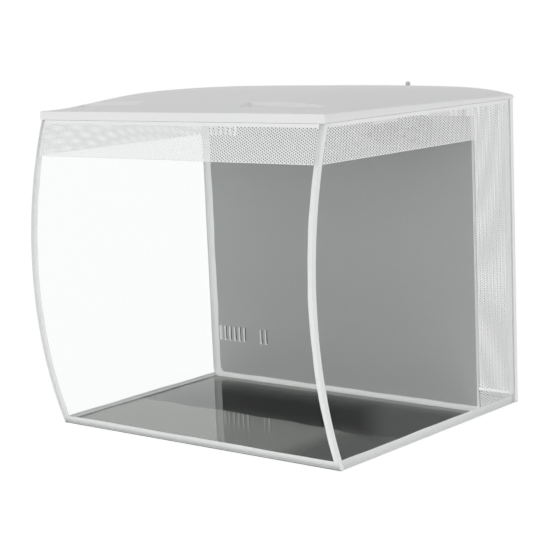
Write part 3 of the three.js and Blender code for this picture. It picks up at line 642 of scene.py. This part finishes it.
# The bead behind the divider, which is thinner on the right and towards the top.
BACK_BEAD = 1.9 * MM
BACK_BEAD_LEAN = 0.3 * MM
BACK_BEAD_TAPER = 1.0 * MM / RIM


def divider_path(top):
    """A U round the divider, as (wall x, wall z, face x, face z, reach along the pane) stations."""
    half = INNER_X - BOND
    foot_up, foot_out = FOOT_BEAD
    stations = []
    for sign, bead_size, corner in ((-1, LEFT_BEAD, LEFT_TURN), (1, RIGHT_BEAD, RIGHT_TURN)):
        along_face, along_pane = bead_size
        turn = []
        for part in steps(0.0, 1.0, 6)[:-1]:
            angle = part * math.pi / 2
            reach_x = along_face + corner * (1 - math.sin(angle))
            reach_z = foot_up + corner * (1 - math.cos(angle))
            turn.append((sign * (half - corner * (1 - part)), FLOOR_TOP + corner * part * 0.5,
                         sign * (half - reach_x), FLOOR_TOP + reach_z,
                         foot_out + (along_pane - foot_out) * part))
        side = [(sign * half, z, sign * (half - along_face), z, along_pane)
                for z in steps(FLOOR_TOP + corner, top, 50)]
        stations.append(turn + side)
    left, right = stations
    across = [(x, FLOOR_TOP, x, FLOOR_TOP + foot_up, foot_out)
              for x in steps(LEFT_TURN - half, half - RIGHT_TURN, 60)[1:-1]]
    return left[::-1] + across + right


def divider_seal():
    """One bead that runs down, along and up in front of the divider."""
    rings = []
    for index, (wall_x, wall_z, face_x, face_z, reach) in enumerate(divider_path(divider_high.z)):
        ring = [(wall_x, DIVIDER_Y - BOND, wall_z)]
        swell = 1 + waver(index, 1) / (5 * MM)
        for near_wall, near_face in fillet(1.0):
            x = wall_x + (face_x - wall_x) * near_wall * swell
            z = wall_z + (face_z - wall_z) * near_wall * swell
            ring.append((x, DIVIDER_Y - BOND - reach * near_face * swell, z))
        rings.append(ring)
    bead("divider_bead", rings, "divider_foot_seal", "divider_left_seal", "divider_right_seal")


def divider_rear_beads():
    """The silicone squeezed out behind the divider, wider towards the floor."""
    start = DIVIDER_BACK + BOND
    for side, sign in SIDES:
        rings = []
        for index, z in enumerate(steps(FLOOR_TOP + 0.2 * MM, divider_high.z, 50)):
            size = BACK_BEAD - sign * BACK_BEAD_LEAN - z * BACK_BEAD_TAPER + waver(index, 8 + sign)
            ring = [(sign * (INNER_X - BOND), start, z)]
            ring += [(sign * (INNER_X - BOND - across * 0.7), start + back, z)
                     for across, back in fillet(size)]
            rings.append(ring)
        bead(f"divider_{side}_rear_bead", rings)


def silicone():
    for side, sign in SIDES:
        corner_seals(side, sign)
    floor_seal()
    divider_seal()
    divider_rear_beads()


# ---- honeycomb print

CELL = 2.95 * MM
HOLE_SHARE = 0.58
PRINT_BORDER = 0.7 * MM
PRINT_LIFT = 0.15 * MM


def lattice(width, height):
    """Corners and faces of a flat honeycomb, width by height, drawn from the origin."""
    columns = int(width / CELL) + 3
    rows = int(height / (CELL * math.sqrt(3) / 2)) + 3
    across, up = np.meshgrid(np.arange(columns), np.arange(rows), indexing="ij")
    centre_x = CELL * (across + 0.5 * (up % 2) - 1)
    centre_y = CELL * math.sqrt(3) / 2 * (up - 1)
    radius = HOLE_SHARE * CELL / math.sqrt(3)
    turns = np.radians(30 + 60 * np.arange(6))
    x = centre_x[..., None] + radius * np.cos(turns)
    y = centre_y[..., None] + radius * np.sin(turns)
    points = np.stack([x.ravel(), y.ravel()], 1)

    def corner(i, j, k):
        return (i * rows + j) * 6 + k

    inner_columns, inner_rows = np.arange(1, columns - 1), np.arange(rows - 1)
    i, j = (grid.ravel() for grid in np.meshgrid(inner_columns, inner_rows, indexing="ij"))
    shift = j % 2
    here, east = (i, j), (i + 1, j)
    north_east, north_west = (i + shift, j + 1), (i + shift - 1, j + 1)
    strands = [
        ((here, 5), (east, 3), (east, 2), (here, 0)),
        ((here, 0), (north_east, 4), (north_east, 3), (here, 1)),
        ((here, 1), (north_west, 5), (north_west, 4), (here, 2)),
    ]
    knots = [
        ((here, 1), (north_east, 3), (north_west, 5)),
        ((here, 0), (east, 2), (north_east, 4)),
    ]
    faces = []
    for kind in (strands, knots):
        rows_of_faces = [np.stack([corner(*cell, k) for cell, k in face], 1) for face in kind]
        faces += np.concatenate(rows_of_faces).tolist()
    return points, faces


def cut_panel(outline):
    """A honeycomb mesh cut to an anticlockwise outline, short of its printed border.

    The cells stand in upright rows, so the lattice is drawn lying down and turned over.
    """
    u_low, v_low = (min(values) for values in zip(*outline))
    u_high, v_high = (max(values) for values in zip(*outline))
    points, faces = lattice(v_high - v_low, u_high - u_low)
    mesh = bpy.data.meshes.new("panel")
    spots = [(u + u_low, v + v_low, 0) for v, u in points]
    mesh.from_pydata(spots, [], [face[::-1] for face in faces])
    panel = bmesh.new()
    panel.from_mesh(mesh)
    for (u0, v0), (u1, v1) in loop_pairs(outline):
        geometry = panel.verts[:] + panel.edges[:] + panel.faces[:]
        outwards = Vector((v1 - v0, u0 - u1, 0)).normalized()
        spot = Vector((u0, v0, 0)) - PRINT_BORDER * outwards
        bmesh.ops.bisect_plane(panel, geom=geometry, plane_co=spot, plane_no=outwards,
                               clear_outer=True)
    loose = [v for v in panel.verts if not v.link_faces]
    bmesh.ops.delete(panel, geom=loose, context="VERTS")
    panel.to_mesh(mesh)
    panel.free()
    return mesh


def add_strip(sheet, u0, v0, u1, v1):
    rows = [[sheet.verts.new((u, v, 0)) for u in steps(u0, u1, 40)] for v in steps(v0, v1, 3)]
    for quad in grid_quads(rows):
        sheet.faces.new(quad)


def add_frame(sheet, outline):
    """A printed line just inside the outline, split so that it can follow a curve."""
    for start, end in loop_pairs([Vector(spot) for spot in outline]):
        along = (end - start).normalized()
        border = Vector((-along.y, along.x)) * PRINT_BORDER
        count = max(int((end - start).length / (10 * MM)), 1)
        outer = [start.lerp(end, part) for part in steps(0, 1, count)]
        inner = [spot + border for spot in outer]
        rows = [[sheet.verts.new((*spot, 0)) for spot in line] for line in (outer, inner)]
        for quad in grid_quads(rows):
            sheet.faces.new(quad)


def clipped_sheet(panels, solid, to_space, name, node):
    """Honeycomb panels, each with its (u, v) outline framed by a thin printed line.

    The solid part is a plain printed (u0, v0, u1, v1) strip along the rim.
    """
    sheet = bmesh.new()
    add_strip(sheet, *solid)
    for outline in panels:
        mesh = cut_panel(outline)
        sheet.from_mesh(mesh)
        bpy.data.meshes.remove(mesh)
        add_frame(sheet, outline)
    for vertex in sheet.verts:
        vertex.co = to_space(vertex.co.x, vertex.co.y)
    fitted(linked(name, meshed(name, sheet)), [PRINT], "tank", "honeycomb_film", node)


def films():
    rim = RIM - 0.1 * MM
    radius = BOW_RADIUS + PRINT_LIFT
    x0, x1 = film_low.x, film_high.x
    band_bottom, band_top = film_low.z, film_high.z
    lowest = bow_angle(radius, band_bottom)

    def on_bow(u, v):
        return u, *bow_point(radius, lowest - v / radius)

    v_band, v_rim = ((lowest - bow_angle(radius, z)) * radius for z in (band_top, rim))
    clipped_sheet([[(x0, 0), (x1, 0), (x1, v_band), (x0, v_band)]], (x0, v_band, x1, v_rim), on_bow,
                  "front_honeycomb", "front_film")

    edge = BOW_RADIUS - (HALF_WIDTH - film_high.x)
    front_bottom, front_top = bow_y(edge, band_bottom), bow_y(edge, band_top)
    bottom, rear = sheet_low.z, sheet_high.y
    chamber = DIVIDER_Y + 0.5 * MM
    band = [(front_bottom, band_bottom), (chamber, band_bottom), (chamber, band_top),
            (front_top, band_top)]
    tall = [(chamber, bottom), (rear, bottom), (rear, band_top), (chamber, band_top)]
    for side, sign in SIDES:
        clipped_sheet([band, tall], (front_top, band_top, rear, rim),
                      lambda u, v: (sign * (HALF_WIDTH + PRINT_LIFT), u, v),
                      f"{side}_honeycomb", f"{side}_film")
    back = [(x0, bottom), (x1, bottom), (x1, band_top), (x0, band_top)]
    clipped_sheet([back], (x0, band_top, x1, rim), lambda u, v: (u, REAR + PRINT_LIFT, v),
                  "rear_honeycomb", "rear_film")


# ---- hood

HOOD_FRONT = hood_low.y
HOOD_BACK = hood_high.y
HOOD_DEPTH = HOOD_BACK - HOOD_FRONT
HOOD_HALF = hood_high.x
HOOD_WALL = 2.5 * MM
HOOD_GAP = 0.3 * MM
FRONT_LIP = 10 * MM
REAR_LIP = 4.2 * MM
CREST = 27 * MM
REAR_CREST = 14.8 * MM
CREST_AT = 0.33
SHOULDER_POWER = 5
SCOOP_X = (75 * MM, 176 * MM)
SCOOP_Y = (-140 * MM, -121 * MM)
SCOOP_DEPTH = 2.5 * MM
SCOOP_WALL = 0.3 * MM
SIDE_ROUND = 1.2 * MM
FRONT_ROUND = 0.8 * MM
REAR_ROUND = 2.0 * MM
NOTCH_X = (126 * MM, 154 * MM)
NOTCH_TOP = RIM + 7.5 * MM


def ridge(along):
    """The dome's middle, which rises from the front lip to its crest and falls to the rear edge."""
    if along < CREST_AT:
        return FRONT_LIP + (CREST - FRONT_LIP) * math.sin(math.pi / 2 * along / CREST_AT)
    fall = (along - CREST_AT) / (1 - CREST_AT)
    return CREST - (CREST - REAR_CREST) * (1 - math.cos(math.pi / 2 * fall))


def round_off(radius, distance):
    inset = max(radius - distance, 0.0)
    return radius - math.sqrt(radius ** 2 - inset ** 2)


def dome_height(x, y):
    """The outside of the dome, as a height above the glass rim. Its side lips taper to the rear."""
    across = min(abs(x) / HOOD_HALF, 1.0)
    along = min(max((y - HOOD_FRONT) / HOOD_DEPTH, 0.0), 1.0)
    middle = ridge(along)
    side_lip = FRONT_LIP + (REAR_LIP - FRONT_LIP) * along
    height = middle - (middle - side_lip) * across ** SHOULDER_POWER
    height -= round_off(SIDE_ROUND, HOOD_HALF * (1 - across))
    height -= round_off(FRONT_ROUND, HOOD_DEPTH * along)
    return height - round_off(REAR_ROUND, HOOD_DEPTH * (1 - along))


def in_scoop(x, y):
    return SCOOP_X[0] < abs(x) < SCOOP_X[1] and SCOOP_Y[0] < y < SCOOP_Y[1]


END_LINES = (0.08, 0.2, 0.4, 0.7, 1.1, 1.6, 2.4, 3.6, 5.2)


def grid_lines(low, high, count, edges, near):
    """Even lines from low to high, with extra ones close to both ends and beside each edge."""
    lines = {round(v, 6) for v in steps(low, high, count)}
    for end, inwards in ((low, 1), (high, -1)):
        lines |= {round(end + inwards * step * MM, 6) for step in END_LINES}
    for edge in edges:
        lines = {v for v in lines if abs(v - edge) > 1.2 * near}
        lines |= {round(edge - near, 6), round(edge, 6)}
    return sorted(lines)


def hood_surface(inset, drop):
    """Grid points of the dome moved in by inset and down by drop, with its scoops let in."""
    x_edges = [s * e for s in (-1, 1) for e in SCOOP_X] + list(NOTCH_X)
    xs = grid_lines(-HOOD_HALF + inset, HOOD_HALF - inset, 96, x_edges, SCOOP_WALL)
    ys = grid_lines(HOOD_FRONT + inset, HOOD_BACK - inset, 88, list(SCOOP_Y), SCOOP_WALL)
    floor = dome_height(SCOOP_X[0], SCOOP_Y[0]) - SCOOP_DEPTH

    def height(x, y):
        dome = dome_height(x, y)
        return (min(dome, floor) if in_scoop(x, y) else dome) - drop

    return [[(x, y, RIM + height(x, y)) for x in xs] for y in ys]


def grid_border(rows):
    """A grid's border items, once round."""
    return (rows[0] + [row[-1] for row in rows[1:]]
            + rows[-1][-2::-1] + [row[0] for row in rows[-2:0:-1]])


def add_skin(rows, flip, points, faces):
    """Adds a dome surface with a skirt down to the rim; gives the indices of the skirt's foot."""
    grid = []
    for row in rows:
        grid.append(list(range(len(points), len(points) + len(row))))
        points.extend(row)
    quads = list(grid_quads(grid))
    border = grid_border(grid)
    foot = list(range(len(points), len(points) + len(border)))
    for index in border:
        x, y, _ = points[index]
        notched = y > INNER_REAR and NOTCH_X[0] < x < NOTCH_X[1]
        points.append((x, y, NOTCH_TOP if notched else RIM + HOOD_GAP))
    for (top, low), (next_top, next_low) in loop_pairs(list(zip(border, foot))):
        quads.append((top, low, next_low, next_top))
    faces.extend(quad[::-1] if flip else quad for quad in quads)
    return foot


def hood_shell():
    points, faces = [], []
    outer_foot = add_skin(hood_surface(0.0, 0.0), False, points, faces)
    inner_foot = add_skin(hood_surface(HOOD_WALL, HOOD_WALL), True, points, faces)
    outside, inside = len(outer_foot), len(inner_foot)
    for k, (here, after) in enumerate(loop_pairs(outer_foot)):
        near, next_near = (inner_foot[round(i * inside / outside) % inside] for i in (k, k + 1))
        faces.append((near, after, here) if near == next_near else (near, next_near, after, here))
    new_piece("hood_dome", points, faces, [HOOD], "hood", "white_plastic", "hood_shell",
              smooth_angle=30)


TAB = 2.2 * MM
TAB_DROP = 8 * MM
SIDE_TABS_Y = ((-70 * MM, -30 * MM), (30 * MM, 70 * MM))
REAR_TABS_X = ((-120 * MM, -70 * MM), (20 * MM, 70 * MM))
SIDE_TAB_X = (INNER_X - 3.2 * MM, INNER_X - 0.8 * MM)
REAR_TAB_Y = (INNER_REAR - 3.6 * MM, INNER_REAR - 1.2 * MM)
SUNK = 0.4 * MM
BOSS_SPOTS = [(sign * 146 * MM, y) for sign in (-1, 1) for y in (-66 * MM, -4 * MM)]


def circle(x, y, z, radius, sides):
    turns = steps(0, 2 * math.pi, sides)[:-1]
    return [(x + radius * math.cos(a), y + radius * math.sin(a), z) for a in turns]


def tab_boxes():
    """The corners of the tabs' boxes: each has a hanging leg and a foot let into the hood's wall."""
    bottom, seat = RIM - TAB_DROP, RIM + HOOD_GAP
    boxes = []
    for _, sign in SIDES:
        legs = sorted(sign * x for x in SIDE_TAB_X)
        feet = sorted((sign * SIDE_TAB_X[0], sign * (HOOD_HALF - HOOD_WALL + SUNK)))
        for y0, y1 in SIDE_TABS_Y:
            boxes.append(((legs[0], y0, bottom), (legs[1], y1, seat)))
            boxes.append(((feet[0], y0, seat), (feet[1], y1, seat + TAB)))
    for x0, x1 in REAR_TABS_X:
        boxes.append(((x0, REAR_TAB_Y[0], bottom), (x1, REAR_TAB_Y[1], seat)))
        boxes.append(((x0, REAR_TAB_Y[0], seat), (x1, HOOD_BACK - HOOD_WALL + SUNK, seat + TAB)))
    return boxes


def hood_tabs():
    """L-shaped tabs that keep the hood inside the rim, and the bosses that hold the lamp."""
    for number, (low, high) in enumerate(tab_boxes(), 1):
        rings = [rectangle(low, high, z) for z in (low[2], high[2])]
        tab = loft(f"hood_tab_{number}", rings, [HOOD], "hood", "white_plastic")
        bevelled(tab, 0.5 * MM)
    lamp_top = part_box("lamp_housing")[1].z
    for number, (x, y) in enumerate(BOSS_SPOTS, 1):
        top = RIM + dome_height(x, y) - HOOD_WALL + 0.3 * MM
        rings = [circle(x, y, z, radius, 28) for z, radius in
                 ((lamp_top, 4.0 * MM), (top - 2 * MM, 4.1 * MM), (top, 6.0 * MM))]
        loft(f"hood_boss_{number}", rings, [HOOD], "hood", "white_plastic")


# ---- divider

def divider():
    """The grey divider; its cut slots and holes are painted pale and glowing, as painted light on their
    walls.
    """
    mesh = NODES["rear_divider"].data.copy()
    mesh.materials.clear()
    for face in mesh.polygons:
        x, _, z = face.center
        level_edge = z > divider_high.z - 1 * MM or z < divider_low.z + 1 * MM
        bonded_edge = abs(x) > INNER_X - 2 * MM and abs(face.normal.x) > 0.5
        cut_wall = abs(face.normal.y) < 0.5 and not level_edge
        face.material_index = 2 if bonded_edge else 1 if cut_wall else 0
    fitted(linked("divider_panel", mesh), [PANEL, SLOT_WALL_GLOW, SILICONE], "tank", "grey_panel",
           "rear_divider")


# ---- filter media

def box_grid(low, high, cell):
    """A closed box surface of square cells, merged at its edges, as a bmesh."""
    work = bmesh.new()
    lines = [steps(a, b, max(round((b - a) / cell), 2)) for a, b in zip(low, high)]
    for axis in range(3):
        first, second = (other for other in range(3) if other != axis)
        for level in (low[axis], high[axis]):
            spots = [[{axis: level, first: u, second: v} for v in lines[second]]
                     for u in lines[first]]
            rows = [[work.verts.new([spot[k] for k in range(3)]) for spot in line] for line in spots]
            for quad in grid_quads(rows):
                work.faces.new(quad)
    bmesh.ops.remove_doubles(work, verts=work.verts, dist=0.01 * MM)
    bmesh.ops.recalc_face_normals(work, faces=work.faces)
    work.normal_update()
    return work


FOAM_CELL = 2.4 * MM
FOAM_WEAR = 0.018
FOAM_PINCH = 0.012
FOAM_SKIN = 0.5 * MM
PORE = (3.1 * MM, 0.45 * MM)


def foam_block():
    """The filter sponge: cut square, with worn corners, a pinched waist and a pored skin."""
    low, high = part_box("foam_block")
    work = box_grid(low, high, FOAM_CELL)
    middle, half = (low + high) / 2, (high - low) / 2
    for vertex in work.verts:
        arm = vertex.co - middle
        edge = sorted(abs(arm[k]) / half[k] for k in range(3))[1]
        worn = 1 - FOAM_WEAR * max(edge - 0.9, 0.0) / 0.1
        pinch = 1 - FOAM_PINCH * (1 + math.sin(vertex.co.z / (26 * MM))) / 2
        pores = mathutils.noise.noise(vertex.co / PORE[0]) * PORE[1]
        vertex.co = middle + Vector((arm.x * pinch, arm.y * pinch, arm.z)) * worn
        vertex.co -= vertex.normal * (FOAM_SKIN + pores)
    mesh = meshed("filter_sponge", work)
    mesh.shade_smooth()
    fitted(linked("filter_sponge", mesh), [FOAM], "foam_carrier", "filter_foam", "foam_block")


POUCH_CELL = 5 * MM
POUCH_INSET = Vector((7 * MM, 7 * MM, 4.2 * MM))
POUCH_CLEARANCE = 0.6 * MM
POUCH_LUMP = 22 * MM
POUCH_LUMP_MM = 3
POUCH_PUCKER = 4.5 * MM
POUCH_PUCKER_MM = 1.1
POUCH_FRAMES = 20


def media_pouch(name, node, material, slot, seed):
    """A net bag stuffed with media: a box of cloth that swells until it meets the basket."""
    low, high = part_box(node)
    work = box_grid(low + POUCH_INSET, high - POUCH_INSET, POUCH_CELL)
    for vertex in work.verts:
        lump = mathutils.noise.noise(vertex.co / POUCH_LUMP + Vector((seed, 0, 0)))
        vertex.co += vertex.normal * lump * POUCH_LUMP_MM * MM
    mesh = meshed(name, work)
    pouch = linked(name, mesh)
    swell(pouch)
    for vertex in mesh.vertices:
        for k in range(3):
            lowest, highest = low[k] + POUCH_CLEARANCE, high[k] - POUCH_CLEARANCE
            vertex.co[k] = min(max(vertex.co[k], lowest), highest)
        pucker = 0.5 + 0.5 * mathutils.noise.noise(vertex.co / POUCH_PUCKER)
        vertex.co -= vertex.normal * pucker * POUCH_PUCKER_MM * MM
    mesh.shade_smooth()
    smooth = pouch.modifiers.new("smooth", "SUBSURF")
    smooth.levels = smooth.render_levels = 1
    fitted(pouch, [material], "media_basket", slot, node)


def swell(pouch):
    """Blows the cloth up with Blender's solver and keeps the settled shape."""
    scene = bpy.context.scene
    modifier = pouch.modifiers.new("cloth", "CLOTH")
    cloth = modifier.settings
    cloth.effector_weights.gravity = 0.0
    cloth.use_pressure = True
    cloth.uniform_pressure_force = 4.0
    cloth.quality = 6
    modifier.point_cache.frame_end = POUCH_FRAMES
    for frame_number in range(1, POUCH_FRAMES + 1):
        scene.frame_set(frame_number)
    settled = pouch.evaluated_get(bpy.context.evaluated_depsgraph_get())
    spots = [vertex.co.copy() for vertex in settled.to_mesh().vertices]
    settled.to_mesh_clear()
    pouch.modifiers.remove(modifier)
    for vertex, spot in zip(pouch.data.vertices, spots):
        vertex.co = spot
    scene.frame_set(1)


# ---- hose, cables and lamp chips

HOSE_PATH = [(88, 153, 66), (88, 153, 90), (88, 153, 115), (99, 151, 175), (110, 150, 235),
             (110, 150, 265), (110, 150, 299)]
LAMP_CABLE_PATH = [(120, 10.5, 364), (120, 24, 365), (126, 90, 369), (131, 160, 366),
                   (133, 186, 363), (133, 194.5, 363)]
PUMP_CABLE_PATH = [(124, 175.5, 52), (124, 179, 52), (125, 183, 57), (136, 184, 95),
                   (144, 183, 160), (146, 183, 300), (146, 180, 340), (146, 183, 358),
                   (146, 189, 363), (146, 194.5, 363)]
SPAN_STEPS = 10


def curve_points(path):
    """Points on a smooth curve through the path's corners, in metres.

    The curve is a centripetal Catmull-Rom spline, which doesn't loop between close corners.
    """
    corners = [Vector(p) * MM for p in path]
    corners = [2 * corners[0] - corners[1]] + corners + [2 * corners[-1] - corners[-2]]
    points = []
    for quartet in zip(corners, corners[1:], corners[2:], corners[3:]):
        knots = [0.0]
        for start, end in zip(quartet, quartet[1:]):
            knots.append(knots[-1] + (end - start).length ** 0.5)
        for t in steps(knots[1], knots[2], SPAN_STEPS)[:-1]:
            points.append(spline_point(quartet, knots, t))
    points.append(corners[-2])
    return points


def spline_point(quartet, knots, t):
    """The spline's point at t, which lies between the second and the third knot."""
    def between(first, last, i, j):
        return first.lerp(last, (t - knots[i]) / (knots[j] - knots[i]))

    a, b, c, d = quartet
    ab, bc, cd = between(a, b, 0, 1), between(b, c, 1, 2), between(c, d, 2, 3)
    return between(between(ab, bc, 0, 2), between(bc, cd, 1, 3), 1, 2)


def tube(name, path, radii, sides, material, body, slot, node):
    """A round section swept along the path: solid for one radius, hollow for two."""
    points = curve_points(path)
    first = Vector((1, 0, 0))
    frames = []
    for before, spot, after in zip(points[:1] + points, points, points[1:] + points[-1:]):
        ahead = (after - before).normalized()
        first = (first - ahead * first.dot(ahead)).normalized()
        frames.append((spot, first, ahead.cross(first)))
    turns = steps(0, 2 * math.pi, sides)[:-1]
    skins = [[[spot + radius * MM * (first * math.cos(a) + second * math.sin(a)) for a in turns]
              for spot, first, second in frames] for radius in radii]
    hollow = len(skins) == 2
    rings = skins[0] + skins[1][::-1] if hollow else skins[0]
    loft(name, rings, [material], body, slot, node, closed=hollow)


def plumbing():
    tube("outlet_tube", HOSE_PATH, (8.4, 6.9), 28, HOSE, "tank", "hose_vinyl", "outlet_hose")
    tube("lamp_lead", LAMP_CABLE_PATH, (1.9,), 14, WHITE, "hood", "white_plastic", "lamp_cable")
    tube("pump_lead", PUMP_CABLE_PATH, (2.3,), 14, WHITE, "tank", "white_plastic", "pump_cable")


CHIP_GRID = (16, 4)
CHIP_HALF = 1.4 * MM


def lamp_chips():
    """Rows of light-emitting chips under the lamp board."""
    low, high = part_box("lamp_board")
    columns, rows = CHIP_GRID
    pitch = Vector(((high.x - low.x) / columns, (high.y - low.y) / rows))
    points, faces = [], []
    for i in range(columns):
        for j in range(rows):
            x, y = low.x + pitch.x * (i + 0.5), low.y + pitch.y * (j + 0.5)
            start = len(points)
            faces += [tuple(start + k for k in face) for face in ring_faces(3, 4)]
            for drop, half in ((0.0, CHIP_HALF), (0.5, CHIP_HALF), (0.8, CHIP_HALF * 0.75)):
                points += rectangle((x - half, y - half), (x + half, y + half), low.z - drop * MM)
    new_piece("lamp_chips", points, faces, [PHOSPHOR], "hood", "lamp_board")


# ---- finishes of the remaining nodes

OUTLET_PARTS = [f"{side}_outlet_{part}" for side, _ in SIDES for part in ("socket", "ring", "spout")]
# Finish, edge rounding in mm and the CAD nodes that get them.
FINISHES = (
    (GREY, 0.25, ["left_chamber_wall", "right_chamber_wall"]),
    (GREY, 0.3, OUTLET_PARTS),
    (BLACK, 0.3, ["left_outlet_nut", "right_outlet_nut"]),
    (BLACK, 0.4, ["pump_body", "pump_cover", "outlet_tee"]),
    (RUBBER, 0.2, [f"suction_foot_{number}" for number in range(1, 5)]),
    (STEEL, 0.15, [f"lamp_screw_{number}" for number in range(1, 5)]),
    (MAGNET, 0.3, ["impeller"]),
    (CERAMIC, 0.1, ["impeller_shaft"]),
    (WHITE, 0.4, ["foam_carrier", "lamp_housing"]),
    (WHITE, 0.3, ["media_basket"]),
    (RECEIVER, 0.2, ["signal_receiver"]),
    (BOARD, 0.1, ["lamp_board"]),
    (LENS, 0.2, ["lamp_lens"]),
)


def carried_over():
    """Gives the remaining CAD nodes their finish and softens their edges as moulding does."""
    for material, rounding, names in FINISHES:
        for name in names:
            piece = NODES[name]
            piece.data.materials.clear()
            piece.data.materials.append(material)
            piece.modifiers.new("weld", "WELD").merge_threshold = 0.01 * MM
            bevelled(piece, rounding * MM, 40)


# ---- studio

CAMERA_SPOT = (1.2260, -1.4841, 0.4794)
CAMERA_TURN = math.radians(40.07)
CAMERA_PITCH = math.radians(10.315)
CAMERA_ROLL = math.radians(-2.550)
CAMERA_LENS = 109.61
CAMERA_SHIFT = (0.0229, 0.0610)


def camera():
    data = bpy.data.cameras.new("camera")
    data.lens = CAMERA_LENS
    data.shift_x, data.shift_y = CAMERA_SHIFT
    data.sensor_width = 36
    data.clip_end = 50
    eye = linked("camera", data)
    turn = (Matrix.Rotation(CAMERA_TURN, 4, "Z")
            @ Matrix.Rotation(math.pi / 2 - CAMERA_PITCH, 4, "X")
            @ Matrix.Rotation(CAMERA_ROLL, 4, "Z"))
    eye.matrix_world = Matrix.Translation(CAMERA_SPOT) @ turn
    bpy.context.scene.camera = eye


STAGE_HALF = 12.0
STAGE_DROP = 0.4 * MM


def studio_floor():
    corners = rectangle((-STAGE_HALF, -STAGE_HALF), (STAGE_HALF, STAGE_HALF), 0)
    mesh = bpy.data.meshes.new("studio_floor")
    mesh.from_pydata(corners, [], [(0, 1, 2, 3)])
    mesh.materials.append(stage_material())
    floor = linked("studio_floor", mesh)
    floor.location.z = -STAGE_DROP


LIGHT_HORIZON = 1.05
LIGHT_TOP = 0.26
LIGHT_FRONT = 0.47


def studio_light():
    """White all round to the eye; as light on the object, brighter from the front than above."""
    s = Shader("studio", "worlds", "OutputWorld")
    bpy.context.scene.world = s.owner
    direction = s.node("SeparateXYZ", s.node("TexCoord").outputs["Generated"]).outputs
    above = s.math("MAXIMUM", direction["Z"], 0.0)
    front = s.math("MAXIMUM", s.math("MULTIPLY", direction["Y"], -1.0), 0.0)
    light = s.math("ADD", LIGHT_HORIZON, s.math("MULTIPLY", above, LIGHT_TOP - LIGHT_HORIZON))
    light = s.math("ADD", light, s.math("MULTIPLY", front, LIGHT_FRONT))
    seen = s.seen()
    unseen = s.math("MULTIPLY", light, s.math("SUBTRACT", 1.0, seen))
    strength = s.math("ADD", unseen, seen)
    s.finish(s.node("Background", WHITE_LIGHT, strength).outputs[0])


def plain_colours():
    settings = bpy.context.scene.view_settings
    settings.view_transform = "Standard"
    settings.look = "None"


glass()
silicone()
films()
hood_shell()
hood_tabs()
divider()
foam_block()
media_pouch("carbon_bag", "carbon_pouch", CARBON_BAG, "carbon_media", 1.0)
media_pouch("ceramic_bag", "ceramic_pouch", CERAMIC_BAG, "ceramic_media", 5.0)
plumbing()
lamp_chips()
carried_over()
studio_floor()
studio_light()
camera()
plain_colours()
